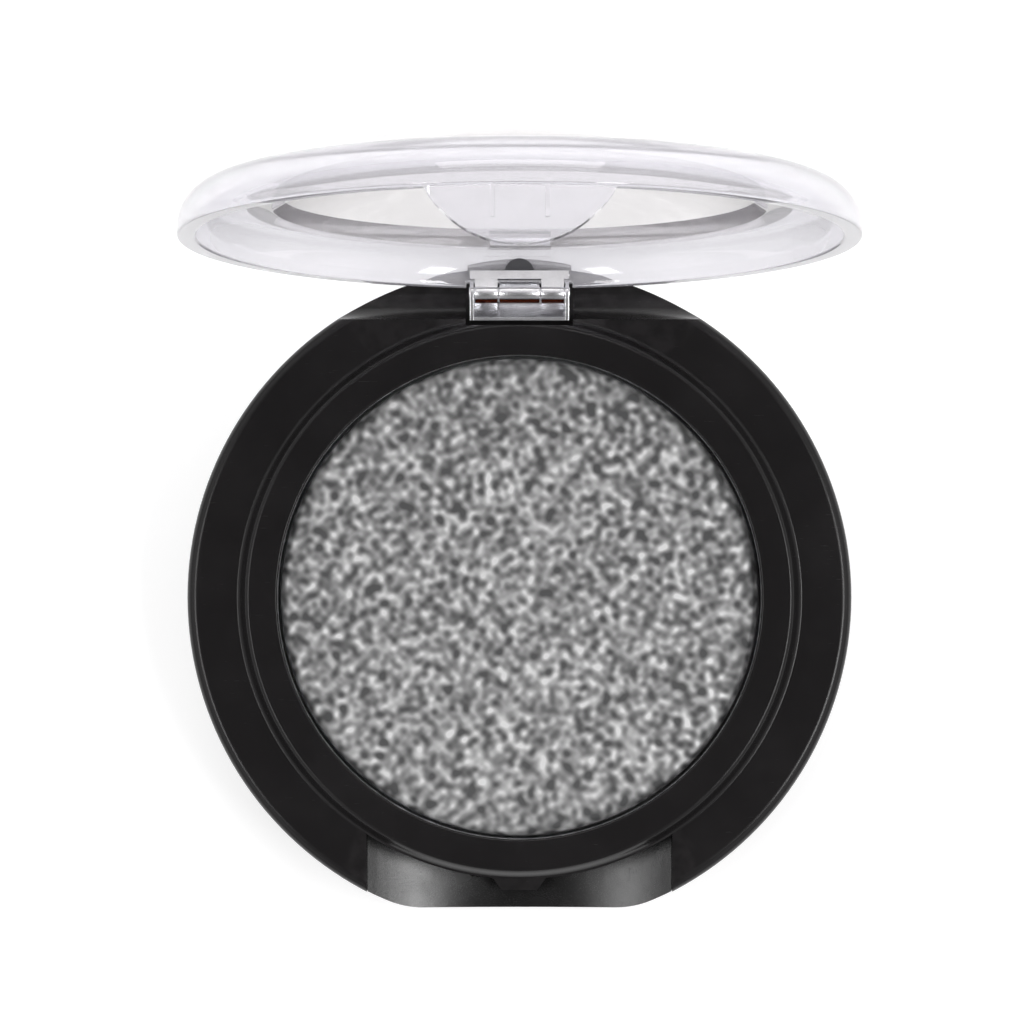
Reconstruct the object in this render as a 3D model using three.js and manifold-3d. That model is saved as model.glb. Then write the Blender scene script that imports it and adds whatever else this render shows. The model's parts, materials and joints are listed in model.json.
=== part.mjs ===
// A round single eyeshadow compact, shown open: a dark base in two mouldings with a pan of
// pressed powder, and a clear domed lid on a small steel hinge. Millimetres, +Z up. The origin
// is the centre of the face that the base rests on, +X is to the right and +Y points to the hinge.
import * as THREE from 'three';
import { mergeVertices } from 'three/addons/utils/BufferGeometryUtils.js';
import Module from 'manifold-3d';

const wasm = await Module();
wasm.setup();

// ---- Driving dimensions, in millimetres ----

const OPEN_ANGLE = 97; // degrees that the lid turns from closed to its open stop

// base tray, the lower moulding
const BASE_RADIUS = 25;
const FOOT_RADIUS = 19; // flat ring that the tray stands on
const PARTING_HEIGHT = 4.4; // where the tray meets the deck
const TRAY_WALL = 1.4;
const FLOOR_TOP = 1.8;
const BOSS_RADIUS = 5;
const BOSS_HEIGHT = 1.3;
const RIB_COUNT = 6;
const RIB_THICKNESS = 0.8;
const LABEL_RADIUS = 14.8;
const LABEL_THICKNESS = 0.2;
const LABEL_CLEARANCE = 0.2;

// pan, powder and glue
const PAN_RADIUS = 18.5;
const PAN_WALL = 0.35;
const PAN_HEIGHT = 4.85;
const GLUE_RADIUS = 14;
const GLUE_THICKNESS = 0.4;
const POWDER_EDGE_DROP = 0.3; // the powder's edge below the pan's rim
const POWDER_CROWN = 0.7; // the powder's middle above its edge

// well wall of the tray, and the deck around it
const WELL_CLEARANCE = 0.3; // between the pan and the well wall
const WELL_WALL = 1;
const SKIRT_CLEARANCE = 0.2; // between the well wall and the deck's inner skirt
const SKIRT_WALL = 1.2;
const SKIRT_LIFT = 1.6; // the skirt's lower edge above the tray's floor
const LIP_OVERLAP = 0.3; // how far the deck's lip covers the pan
const LIP_THICKNESS = 1;
const LIP_CHAMFER = 0.25;
const STACK_GAP = 0.05; // between the pan and the lip above it
const WELL_TOP_GAP = 0.1; // between the well wall and the lip
const STEP_DROP = 1; // from the raised ring of the deck down to the ledge
const STEP_WIDTH = 1;
const STEP_OFFSET = 0.1; // the step's foot beyond the skirt
const DECK_SKIN = 1.3;
const EDGE_ROUND = 0.8;

// thumb notch at the front, and the catch in it
const NOTCH_HALF_WIDTH = 11.5;
const NOTCH_CHEEK = 1.1; // walls at the notch's two sides
const SCOOP_CLEARANCE = 0.1; // between the tray's scoop and the deck's cheeks
const SCOOP_GAP = 0.3; // between the scoop and the deck's skirt
const SCOOP_CURVE_RADIUS = 30;
const FRONT_FLAT_DEPTH = 1.5;
const NOSE_REACH = 0.95;
const NOSE_HEIGHT = 1;
const NOSE_TIP_HEIGHT = 0.3;
const NOSE_ROOT_HALF_WIDTH = 2.15;
const NOSE_TIP_HALF_WIDTH = 1.35;

// lid
const LID_SETBACK = 0.1; // the lid's edge inside the base's edge
const LID_SEAT_GAP = 0.1; // under the closed lid's rim
const LID_WALL = 1.4;
const LID_STRAIGHT = 0.7; // upright part of the rim, below the round shoulder
const SHOULDER_RADIUS = 3.2;
const DOME_RADIUS = 33.7;
const DOME_RISE = 8.85; // the dome's top above the rim
const DOME_THICKNESS = 1.2;
const DOME_FOOT = 2.2; // the dome's lower edge above the rim
const DOME_GAP = 0.1; // around the dome, where the rim holds it

// thumb tab of the lid, with its hook
const TAB_HALF_WIDTH = 6.8;
const TAB_DEPTH = 4.2;
const TAB_THICKNESS = 1.2;
const TAB_INSET = 0.1;
const TAB_FLOOR_GAP = 0.3; // between the tab and the scoop below it
const TAB_RIB_SPACING = 3.8;
const TAB_RIB_WIDTH = 0.35;
const TAB_RIB_REACH = 0.6;
const TAB_RIB_LENGTH = 2.15;
const HOOK_HALF_WIDTH = 2.1;
const HOOK_HEIGHT = 1;
const HOOK_BITE = 0.45; // how far the hook reaches under the nose
const HOOK_PLAY = 0.1; // between the hook and the nose above it

// hinge
const HINGE_SETBACK = 2.1; // the axis inside the base's edge
const HINGE_DROP = 0.57; // the axis below the closed rim
const KNUCKLE_RADIUS = 0.8;
const PIN_RADIUS = 0.4;
const PIN_PLAY = 0.05;
const CENTRE_KNUCKLE_HALF = 1.5;
const KNUCKLE_GAP = 0.15;
const LID_KNUCKLE_LENGTH = 1.7;
const CHEEK_GAP = 0.1;
const CHEEK_THICKNESS = 0.27;
const PIN_END = 0.08; // the pin's ends beyond the cheeks
const LEAF_FLOOR = 0.5;
const LEAF_FLOOR_GAP = 0.08; // under the turning knuckles
const LEAF_LIP = 0.25;
const LEAF_REACH = 2.1; // the base leaf in front of the axis
const LEAF_LIP_RISE = 0.67; // its front lip above the axis
const LEAF_FLAT = 0.5; // its flat floor in front of the axis, before it curves up to the lip
const FLANGE_THICKNESS = 0.4;
const FLANGE_OFFSET = 0.7; // the lid leaf's outer face from the axis
const FLANGE_HEIGHT = 0.64;
const SWING_GAP = 0.15; // outside the knuckles, for what turns past them
const PAD_THICKNESS = 0.25;
const PAD_GAP = 0.06; // each side of the pad
const PAD_HALF_WIDTH = 2.25;
const PAD_HEIGHT = 0.75;
const PAD_BUMP_RADIUS = 1.13;
const PAD_BUMP_RISE = 0.9;
const PAD_SEAT_GAP = 0.15; // around the pad in its seat in the lid
const LUG_HALF_WIDTH = 3.9;
const LUG_HEIGHT = 1.9;
const LUG_DEPTH = 0.85;
const RIM_NOTCH_HALF_WIDTH = 4;
const RIM_NOTCH_GAP = 0.12; // above the base leaf's knuckle

// trough at the rear, where the lid's back swings down
const TROUGH_REACH = 2; // in front of the axis
const TROUGH_DEPTH = 2.33; // below the axis
const TROUGH_FLAT = 1.4; // behind the axis
const TROUGH_FALL = 0.6;
const TROUGH_WALL = 1;
const POCKET_HALF_WIDTH = 4.05;
const POCKET_GAP = 0.35; // in front of the base leaf

// fineness of the faceted shapes, and how deep joined pieces sink into each other
const TURN_STEPS = 60;
const PIN_STEPS = 20;
const ARC_STEPS = 2;
const DOME_ARC_STEPS = 3;
const SINK = 0.2;
const WELD_TOLERANCE = 1e-4;
const ABOVE_ALL = 40; // higher than the closed compact

// ---- Places that follow from them ----

const labelRecessRadius = LABEL_RADIUS + LABEL_CLEARANCE;
const bossTop = FLOOR_TOP + BOSS_HEIGHT;
const panBottom = bossTop + GLUE_THICKNESS;
const panTop = panBottom + PAN_HEIGHT;
const powderRadius = PAN_RADIUS - PAN_WALL;
const wellRadius = PAN_RADIUS + WELL_CLEARANCE;
const wellOuter = wellRadius + WELL_WALL;
const lipUnderside = panTop + STACK_GAP;
const deckTop = lipUnderside + LIP_THICKNESS;
const ledgeTop = deckTop - STEP_DROP;
const openingRadius = PAN_RADIUS - LIP_OVERLAP;
const skirtInner = wellOuter + SKIRT_CLEARANCE;
const skirtOuter = skirtInner + SKIRT_WALL;
const skirtBottom = FLOOR_TOP + SKIRT_LIFT;
const stepFoot = skirtOuter + STEP_OFFSET;

const rimPlane = ledgeTop + LID_SEAT_GAP;
const lidRadius = BASE_RADIUS - LID_SETBACK;
const shoulderCentre = lidRadius - SHOULDER_RADIUS;
const domeCentre = rimPlane + DOME_RISE - DOME_RADIUS;
const tabOuter = lidRadius - TAB_INSET;
const tabInner = tabOuter - TAB_THICKNESS;
const tabBottom = rimPlane - TAB_DEPTH;
const hookTop = tabBottom + HOOK_HEIGHT;
const noseTip = skirtOuter + NOSE_REACH;
const scoopFloor = tabBottom - TAB_FLOOR_GAP;

const axisY = BASE_RADIUS - HINGE_SETBACK;
const axisZ = rimPlane - HINGE_DROP;
const lidKnuckleStart = CENTRE_KNUCKLE_HALF + KNUCKLE_GAP;
const lidKnuckleEnd = lidKnuckleStart + LID_KNUCKLE_LENGTH;
const cheekStart = lidKnuckleEnd + CHEEK_GAP;
const cheekEnd = cheekStart + CHEEK_THICKNESS;
const boreRadius = PIN_RADIUS + PIN_PLAY;
const leafFloorTop = axisZ - KNUCKLE_RADIUS - LEAF_FLOOR_GAP;
const leafBottom = leafFloorTop - LEAF_FLOOR;
const leafFront = axisY - LEAF_REACH;
const leafLipTop = axisZ + LEAF_LIP_RISE;
const swingRadius = KNUCKLE_RADIUS + SWING_GAP;
const flangeTop = axisZ + swingRadius + FLANGE_HEIGHT;
const padFront = axisY - FLANGE_OFFSET + FLANGE_THICKNESS + PAD_GAP;
const padTop = axisZ + swingRadius + PAD_HEIGHT + PAD_BUMP_RISE;
const lugFront = padFront + PAD_THICKNESS + PAD_GAP;
const troughFront = axisY - TROUGH_REACH;
const troughFloor = axisZ - TROUGH_DEPTH;

// ---- Solids ----

// A closed geometry as a solid that can be joined and cut.
function solid(geometry) {
  geometry.deleteAttribute('normal');
  geometry.deleteAttribute('uv');
  const welded = mergeVertices(geometry, WELD_TOLERANCE);
  const corners = welded.index.array;
  const triVerts = [];
  for (let i = 0; i < corners.length; i += 3) {
    const [a, b, c] = corners.slice(i, i + 3);
    if (a !== b && b !== c && c !== a) triVerts.push(a, b, c);
  }
  const vertProperties = welded.attributes.position.array;
  return new wasm.Manifold(
    new wasm.Mesh({ numProp: 3, vertProperties, triVerts: Uint32Array.from(triVerts) }),
  );
}

// An outline in radius and height, turned about the Z axis.
function turned(outline, arcSteps = ARC_STEPS) {
  const points = outline.getPoints(arcSteps);
  if (THREE.ShapeUtils.area(points) < 0) points.reverse();
  return solid(new THREE.LatheGeometry(points, TURN_STEPS).rotateX(Math.PI / 2));
}

function outlineOf(corners) {
  const path = new THREE.Path();
  path.setFromPoints(corners.map(([a, b]) => new THREE.Vector2(a, b)));
  return path;
}

function disc(radius, low, high) {
  return turned(outlineOf([[0, low], [radius, low], [radius, high], [0, high]]));
}

function ring(inner, outer, low, high) {
  return turned(outlineOf([[inner, low], [outer, low], [outer, high], [inner, high], [inner, low]]));
}

function block([xLow, xHigh], [yLow, yHigh], [zLow, zHigh], turn = 0) {
  const geometry = new THREE.BoxGeometry(xHigh - xLow, yHigh - yLow, zHigh - zLow);
  geometry.translate((xLow + xHigh) / 2, (yLow + yHigh) / 2, (zLow + zHigh) / 2);
  return solid(geometry.rotateZ(turn));
}

// A shape drawn in two of the axes and pushed along the third, from low to high.
function pushed(shape, [right, up, along], low, high) {
  const geometry = new THREE.ExtrudeGeometry(shape, {
    depth: high - low,
    bevelEnabled: false,
    curveSegments: 2 * ARC_STEPS,
  });
  geometry.translate(0, 0, low);
  return solid(geometry.applyMatrix4(new THREE.Matrix4().makeBasis(right, up, along)));
}

const X = new THREE.Vector3(1, 0, 0);
const Y = new THREE.Vector3(0, 1, 0);
const Z = new THREE.Vector3(0, 0, 1);
const FRONT = Y.clone().negate();

const alongX = (sideShape, low, high) => pushed(sideShape, [Y, Z, X], low, high);
const alongFront = (faceShape, low, high) => pushed(faceShape, [X, Z, FRONT], low, high);
const alongZ = (planShape, low, high) => pushed(planShape, [X, Y, Z], low, high);

function polygon(corners) {
  return new THREE.Shape(corners.map(([a, b]) => new THREE.Vector2(a, b)));
}

function rodAlongX(radius, low, high) {
  const geometry = new THREE.CylinderGeometry(radius, radius, high - low, PIN_STEPS);
  geometry.rotateZ(-Math.PI / 2).translate((low + high) / 2, axisY, axisZ);
  return solid(geometry);
}

// ---- Base ----

// The base's outer shape: a flat foot, a bowl-shaped underside and an upright edge.
function baseEnvelope() {
  const outline = new THREE.Path();
  outline.moveTo(0, 0);
  outline.lineTo(FOOT_RADIUS, 0);
  outline.absellipse(
    FOOT_RADIUS, PARTING_HEIGHT, BASE_RADIUS - FOOT_RADIUS, PARTING_HEIGHT, -Math.PI / 2, 0, false,
  );
  outline.lineTo(BASE_RADIUS, ledgeTop);
  outline.lineTo(0, ledgeTop);
  return turned(outline);
}

// The hollow bowl of the tray, with the label's recess in its underside.
function trayBowl() {
  const innerReach = BASE_RADIUS - TRAY_WALL - FOOT_RADIUS;
  const outline = new THREE.Path();
  outline.moveTo(0, LABEL_THICKNESS);
  outline.lineTo(labelRecessRadius, LABEL_THICKNESS);
  outline.lineTo(labelRecessRadius, 0);
  outline.lineTo(FOOT_RADIUS, 0);
  outline.absellipse(
    FOOT_RADIUS, PARTING_HEIGHT, BASE_RADIUS - FOOT_RADIUS, PARTING_HEIGHT, -Math.PI / 2, 0, false,
  );
  outline.absellipse(
    FOOT_RADIUS, PARTING_HEIGHT, innerReach, PARTING_HEIGHT - FLOOR_TOP, 0, -Math.PI / 2, true,
  );
  outline.lineTo(0, FLOOR_TOP);
  return turned(outline);
}

// The block behind the front flat that carries the thumb scoop.
function scoopBlock() {
  const halfWidth = NOTCH_HALF_WIDTH - SCOOP_CLEARANCE;
  return block([-halfWidth, halfWidth], [-BASE_RADIUS, 0], [FLOOR_TOP - SINK, ledgeTop])
    .intersect(baseEnvelope())
    .subtract(disc(skirtOuter + SCOOP_GAP, 0, ABOVE_ALL));
}

// What is cut away over the scoop: its floor is hollow and rises to the notch's two sides.
function scoopCut() {
  const halfAngle = Math.asin(NOTCH_HALF_WIDTH / SCOOP_CURVE_RADIUS);
  const hollow = new THREE.Shape();
  hollow.absarc(
    0, scoopFloor + SCOOP_CURVE_RADIUS, SCOOP_CURVE_RADIUS,
    -Math.PI / 2 - halfAngle, -Math.PI / 2 + halfAngle, false,
  );
  hollow.lineTo(NOTCH_HALF_WIDTH, ABOVE_ALL);
  hollow.lineTo(-NOTCH_HALF_WIDTH, ABOVE_ALL);
  return alongFront(hollow, 0, BASE_RADIUS + 1)
    .subtract(disc(skirtOuter + SCOOP_GAP, 0, ABOVE_ALL + 1));
}

function baseTray() {
  let tray = trayBowl()
    .add(ring(wellRadius, wellOuter, FLOOR_TOP - SINK, lipUnderside - WELL_TOP_GAP))
    .add(disc(BOSS_RADIUS, FLOOR_TOP - SINK, bossTop))
    .add(scoopBlock())
    .subtract(scoopCut());
  for (let i = 0; i < RIB_COUNT; i += 1) {
    const rib = block(
      [-RIB_THICKNESS / 2, RIB_THICKNESS / 2], [BOSS_RADIUS - SINK, wellRadius + SINK],
      [FLOOR_TOP - SINK, bossTop], (i * 2 * Math.PI) / RIB_COUNT,
    );
    tray = tray.add(rib);
  }
  const beyondFlat = [-2 * BASE_RADIUS, -(BASE_RADIUS - FRONT_FLAT_DEPTH)];
  return tray.subtract(block([-BASE_RADIUS, BASE_RADIUS], beyondFlat, [-1, ledgeTop]));
}

// The deck as it is turned: a lip over the pan, the raised ring, the step down to the ledge
// that the lid closes on, an outer wall and a skirt around the well.
function deckRing() {
  const stepStart = stepFoot - STEP_WIDTH;
  const stepMiddle = stepFoot - STEP_WIDTH / 2;
  const outline = new THREE.Path();
  outline.moveTo(openingRadius, lipUnderside);
  outline.lineTo(openingRadius, deckTop - LIP_CHAMFER);
  outline.lineTo(openingRadius + LIP_CHAMFER, deckTop);
  outline.lineTo(stepStart, deckTop);
  outline.bezierCurveTo(stepMiddle, deckTop, stepMiddle, ledgeTop, stepFoot, ledgeTop);
  outline.absarc(BASE_RADIUS - EDGE_ROUND, ledgeTop - EDGE_ROUND, EDGE_ROUND, Math.PI / 2, 0, true);
  outline.lineTo(BASE_RADIUS, PARTING_HEIGHT);
  outline.lineTo(BASE_RADIUS - TRAY_WALL, PARTING_HEIGHT);
  outline.lineTo(BASE_RADIUS - TRAY_WALL, ledgeTop - DECK_SKIN);
  outline.lineTo(skirtOuter, ledgeTop - DECK_SKIN);
  outline.lineTo(skirtOuter, skirtBottom);
  outline.lineTo(skirtInner, skirtBottom);
  outline.lineTo(skirtInner, lipUnderside);
  outline.lineTo(openingRadius, lipUnderside);
  return turned(outline, 2 * ARC_STEPS);
}

// What fills the deck's hollow between its skirt and its outer wall.
function deckFill() {
  return ring(skirtInner + SINK, BASE_RADIUS - SINK, PARTING_HEIGHT, ledgeTop - DECK_SKIN / 2);
}

function troughCut() {
  const outline = new THREE.Shape();
  outline.moveTo(troughFront, ABOVE_ALL);
  outline.absellipse(
    axisY, ledgeTop, TROUGH_REACH, ledgeTop - troughFloor, Math.PI, 1.5 * Math.PI, false,
  );
  outline.lineTo(axisY + TROUGH_FLAT, troughFloor);
  outline.quadraticCurveTo(
    BASE_RADIUS, troughFloor, BASE_RADIUS + SINK, troughFloor - TROUGH_FALL,
  );
  outline.lineTo(BASE_RADIUS + SINK, ABOVE_ALL);
  return alongX(outline, -BASE_RADIUS, BASE_RADIUS);
}

function catchNose() {
  const low = hookTop + HOOK_PLAY;
  const root = skirtOuter - SINK;
  const plan = polygon([
    [-NOSE_ROOT_HALF_WIDTH, -root], [-NOSE_TIP_HALF_WIDTH, -noseTip],
    [NOSE_TIP_HALF_WIDTH, -noseTip], [NOSE_ROOT_HALF_WIDTH, -root],
  ]);
  const side = polygon([
    [-root, low], [-noseTip, low], [-noseTip, low + NOSE_TIP_HEIGHT],
    [-skirtOuter, low + NOSE_HEIGHT], [-root, low + NOSE_HEIGHT],
  ]);
  return alongZ(plan, low, low + NOSE_HEIGHT)
    .intersect(alongX(side, -NOSE_ROOT_HALF_WIDTH, NOSE_ROOT_HALF_WIDTH));
}

function baseDeck() {
  const cheekOuter = NOTCH_HALF_WIDTH + NOTCH_CHEEK;
  const fullHeight = [0, ABOVE_ALL];
  const frontFill = deckFill()
    .intersect(block([-cheekOuter, cheekOuter], [-BASE_RADIUS, 0], fullHeight));
  const notch = block([-NOTCH_HALF_WIDTH, NOTCH_HALF_WIDTH], [-BASE_RADIUS - 1, 0], fullHeight)
    .subtract(disc(skirtOuter, -1, ABOVE_ALL + 1));
  const rearFill = deckFill()
    .intersect(block([-BASE_RADIUS, BASE_RADIUS], [troughFront - TROUGH_WALL, BASE_RADIUS], fullHeight));
  const pocketSides = [-POCKET_HALF_WIDTH, POCKET_HALF_WIDTH];
  const pedestal = block(pocketSides, [skirtInner + SINK, axisY], [PARTING_HEIGHT, leafBottom]);
  const pocket = block(pocketSides, [leafFront - POCKET_GAP, BASE_RADIUS], [leafBottom, ABOVE_ALL]);
  return deckRing()
    .add(frontFill)
    .add(rearFill)
    .subtract(notch)
    .subtract(troughCut())
    .add(pedestal)
    .subtract(pocket)
    .add(catchNose());
}

// ---- Pan, powder, glue and label ----

function pan() {
  return turned(outlineOf([
    [0, panBottom], [PAN_RADIUS, panBottom], [PAN_RADIUS, panTop],
    [powderRadius, panTop], [powderRadius, panBottom + PAN_WALL], [0, panBottom + PAN_WALL],
  ]));
}

function powder() {
  const edge = panTop - POWDER_EDGE_DROP;
  const crown = edge + POWDER_CROWN;
  const outline = new THREE.Path();
  outline.moveTo(0, panBottom + PAN_WALL);
  outline.lineTo(powderRadius, panBottom + PAN_WALL);
  outline.lineTo(powderRadius, edge);
  outline.bezierCurveTo(powderRadius - POWDER_CROWN, crown, powderRadius / 2, crown, 0, crown);
  return turned(outline, 3 * ARC_STEPS);
}

// ---- Hinge ----

// The base leaf: a floor that curves up to a front lip, two cheeks and the middle knuckle.
function hingeBaseLeaf() {
  const curveStart = axisY - LEAF_FLAT;
  const floor = new THREE.Shape();
  floor.moveTo(leafFront, leafBottom);
  floor.lineTo(axisY, leafBottom);
  floor.lineTo(axisY, leafFloorTop);
  floor.absellipse(
    curveStart, leafLipTop, curveStart - leafFront - LEAF_LIP, leafLipTop - leafFloorTop,
    1.5 * Math.PI, Math.PI, true,
  );
  floor.lineTo(leafFront, leafLipTop);
  const cheek = new THREE.Shape();
  cheek.moveTo(leafFront, leafBottom);
  cheek.lineTo(axisY, leafBottom);
  cheek.absarc(axisY, axisZ, KNUCKLE_RADIUS, -Math.PI / 6, Math.PI / 2, false);
  cheek.lineTo(leafFront, leafLipTop);
  const middle = [-CENTRE_KNUCKLE_HALF, CENTRE_KNUCKLE_HALF];
  return alongX(floor, -cheekEnd, cheekEnd)
    .add(alongX(cheek, cheekStart, cheekEnd))
    .add(alongX(cheek, -cheekEnd, -cheekStart))
    .add(block(middle, [axisY - KNUCKLE_RADIUS, axisY], [leafBottom, axisZ]))
    .add(rodAlongX(KNUCKLE_RADIUS, ...middle))
    .subtract(rodAlongX(boreRadius, -POCKET_HALF_WIDTH, POCKET_HALF_WIDTH));
}

// The lid leaf: two knuckles, each with a web up to one flange across the lid's back.
function hingeLidLeaf() {
  const across = [axisY - FLANGE_OFFSET, axisY - FLANGE_OFFSET + FLANGE_THICKNESS];
  let leaf = block([-cheekEnd, cheekEnd], across, [axisZ + swingRadius, flangeTop]);
  for (const [low, high] of [[lidKnuckleStart, lidKnuckleEnd], [-lidKnuckleEnd, -lidKnuckleStart]]) {
    leaf = leaf.add(rodAlongX(KNUCKLE_RADIUS, low, high));
    leaf = leaf.add(block([low, high], across, [axisZ, flangeTop - FLANGE_HEIGHT / 2]));
  }
  return leaf.subtract(rodAlongX(boreRadius, -POCKET_HALF_WIDTH, POCKET_HALF_WIDTH));
}

function hingePin() {
  return rodAlongX(PIN_RADIUS, -cheekEnd - PIN_END, cheekEnd + PIN_END);
}

// The soft pad between the lid leaf and the lid, with a round tongue past the flange.
function hingePad() {
  const low = axisZ + swingRadius;
  const high = low + PAD_HEIGHT;
  const bumpCentre = padTop - PAD_BUMP_RADIUS;
  const face = polygon([
    [-PAD_HALF_WIDTH, low], [PAD_HALF_WIDTH, low], [PAD_HALF_WIDTH, high], [-PAD_HALF_WIDTH, high],
  ]);
  const bump = new THREE.Shape();
  bump.moveTo(-PAD_BUMP_RADIUS, low);
  bump.lineTo(PAD_BUMP_RADIUS, low);
  bump.absarc(0, bumpCentre, PAD_BUMP_RADIUS, 0, Math.PI, false);
  const back = -(padFront + PAD_THICKNESS);
  return alongFront(face, back, -padFront).add(alongFront(bump, back, -padFront));
}

// ---- Lid, drawn closed ----

function lidRing() {
  const top = rimPlane + LID_STRAIGHT + SHOULDER_RADIUS;
  const ceiling = top - LID_WALL;
  const seatRadius = DOME_RADIUS + DOME_GAP;
  const angleAt = (height) => Math.asin((height - domeCentre) / seatRadius);
  const outline = new THREE.Path();
  outline.moveTo(lidRadius - LID_WALL, rimPlane);
  outline.lineTo(lidRadius, rimPlane);
  outline.absarc(shoulderCentre, rimPlane + LID_STRAIGHT, SHOULDER_RADIUS, 0, Math.PI / 2, false);
  outline.absarc(0, domeCentre, seatRadius, angleAt(top), angleAt(ceiling), true);
  outline.absarc(
    shoulderCentre, rimPlane + LID_STRAIGHT, SHOULDER_RADIUS - LID_WALL, Math.PI / 2, 0, true,
  );
  outline.lineTo(lidRadius - LID_WALL, rimPlane);
  return turned(outline);
}

// The thumb tab: a round-ended flap below the front of the rim, two ribs and a hook.
function thumbTab() {
  const joined = rimPlane + LID_STRAIGHT / 2;
  const flap = new THREE.Shape();
  flap.moveTo(-TAB_HALF_WIDTH, joined);
  flap.lineTo(-TAB_HALF_WIDTH, rimPlane);
  flap.bezierCurveTo(
    -0.76 * TAB_HALF_WIDTH, rimPlane - 0.62 * TAB_DEPTH, -0.43 * TAB_HALF_WIDTH, tabBottom, 0, tabBottom,
  );
  flap.bezierCurveTo(
    0.43 * TAB_HALF_WIDTH, tabBottom, 0.76 * TAB_HALF_WIDTH, rimPlane - 0.62 * TAB_DEPTH,
    TAB_HALF_WIDTH, rimPlane,
  );
  flap.lineTo(TAB_HALF_WIDTH, joined);
  const hookTip = noseTip - HOOK_BITE;
  const hookRoot = tabInner + SINK;
  const hookSide = polygon([
    [-hookRoot, hookTop], [-hookTip, hookTop], [-hookTip, hookTop - NOSE_TIP_HEIGHT],
    [-(hookTip + HOOK_HEIGHT), tabBottom], [-hookRoot, tabBottom],
  ]);
  let tab = ring(tabInner, tabOuter, tabBottom - SINK, joined)
    .intersect(alongFront(flap, 0, BASE_RADIUS))
    .add(alongX(hookSide, -HOOK_HALF_WIDTH, HOOK_HALF_WIDTH));
  for (const side of [-1, 1]) {
    const middle = (side * TAB_RIB_SPACING) / 2;
    const width = [middle - TAB_RIB_WIDTH / 2, middle + TAB_RIB_WIDTH / 2];
    tab = tab.add(
      block(width, [-tabInner - SINK, TAB_RIB_REACH - tabInner], [rimPlane - TAB_RIB_LENGTH, joined]),
    );
  }
  return tab;
}

function lidRim() {
  const lugLow = axisZ + swingRadius;
  const lug = block(
    [-LUG_HALF_WIDTH, LUG_HALF_WIDTH], [lugFront, lugFront + LUG_DEPTH], [lugLow, lugLow + LUG_HEIGHT],
  );
  const notch = block(
    [-RIM_NOTCH_HALF_WIDTH, RIM_NOTCH_HALF_WIDTH], [axisY - TROUGH_REACH, BASE_RADIUS + 1],
    [rimPlane - 1, axisZ + KNUCKLE_RADIUS + RIM_NOTCH_GAP],
  );
  const padSeat = block(
    [-PAD_HALF_WIDTH - PAD_SEAT_GAP, PAD_HALF_WIDTH + PAD_SEAT_GAP],
    [axisY - TROUGH_REACH, lugFront], [lugLow, padTop + PAD_SEAT_GAP],
  );
  return lidRing().add(lug).subtract(notch).subtract(padSeat).add(thumbTab());
}

function lidDome() {
  const innerRadius = DOME_RADIUS - DOME_THICKNESS;
  const foot = rimPlane + DOME_FOOT;
  const angleAt = (radius) => Math.asin((foot - domeCentre) / radius);
  const outline = new THREE.Path();
  outline.absarc(0, domeCentre, DOME_RADIUS, Math.PI / 2, angleAt(DOME_RADIUS), true);
  outline.absarc(0, domeCentre, innerRadius, angleAt(innerRadius), Math.PI / 2, false);
  return turned(outline, DOME_ARC_STEPS);
}

// ---- Materials and assembly ----

function surface(color, roughness, metalness = 0, opacity = 1) {
  return new THREE.MeshStandardMaterial({
    color, roughness, metalness, opacity, transparent: opacity < 1,
  });
}

const satinBlack = surface(0x3b393a, 0.42);
const glossBlack = surface(0x232122, 0.3);
const aluminium = surface(0xc9cbcc, 0.35, 1);
const pressedPowder = surface(0x8f8f8f, 0.8);
const glue = surface(0xe6e2d6, 0.6);
const paper = surface(0xf2f2f0, 0.9);
const steel = surface(0xd4d5d7, 0.15, 1);
const softBlack = surface(0x201e1f, 0.7);
const clearPlastic = surface(0xf1f0f4, 0.08, 0, 0.35);

function part(name, body, material) {
  const { vertProperties, triVerts } = body.getMesh();
  const geometry = new THREE.BufferGeometry();
  geometry.setAttribute('position', new THREE.BufferAttribute(vertProperties, 3));
  geometry.setIndex(new THREE.BufferAttribute(triVerts, 1));
  geometry.computeVertexNormals();
  const mesh = new THREE.Mesh(geometry, material);
  mesh.name = name;
  return mesh;
}

const base = new THREE.Group();
base.add(
  part('base_tray', baseTray(), satinBlack),
  part('base_deck', baseDeck(), glossBlack),
  part('pan', pan(), aluminium),
  part('powder', powder(), pressedPowder),
  part('pan_glue', disc(GLUE_RADIUS, bossTop, panBottom), glue),
  part('base_label', disc(LABEL_RADIUS, 0, LABEL_THICKNESS), paper),
  part('hinge_base_leaf', hingeBaseLeaf(), steel),
  part('hinge_pin', hingePin(), steel),
);

// The lid is drawn closed and hung on the hinge's axis, then turned open.
const closedLid = new THREE.Group();
closedLid.position.set(0, -axisY, -axisZ);
closedLid.add(
  part('lid_rim', lidRim(), clearPlastic),
  part('lid_dome', lidDome(), clearPlastic),
  part('hinge_lid_leaf', hingeLidLeaf(), steel),
  part('hinge_pad', hingePad(), softBlack),
);
const lid = new THREE.Group();
lid.position.set(0, axisY, axisZ);
lid.rotation.x = -THREE.MathUtils.degToRad(OPEN_ANGLE);
lid.add(closedLid);

const compact = new THREE.Group();
compact.add(base, lid);

export default compact;
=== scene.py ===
"""A round eyeshadow compact with a clear domed lid: its fine pieces, finishes and studio.

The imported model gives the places. Lengths are in metres and angles in radians. Lid pieces are
made closed and then turned open about the hinge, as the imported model's joint says.
"""

import json
import math
from types import SimpleNamespace

import bmesh
import bpy
from bpy.props import FloatProperty, FloatVectorProperty, IntProperty, PointerProperty
from bpy.types import Operator, Panel, PropertyGroup
from mathutils import Matrix, Vector


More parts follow.
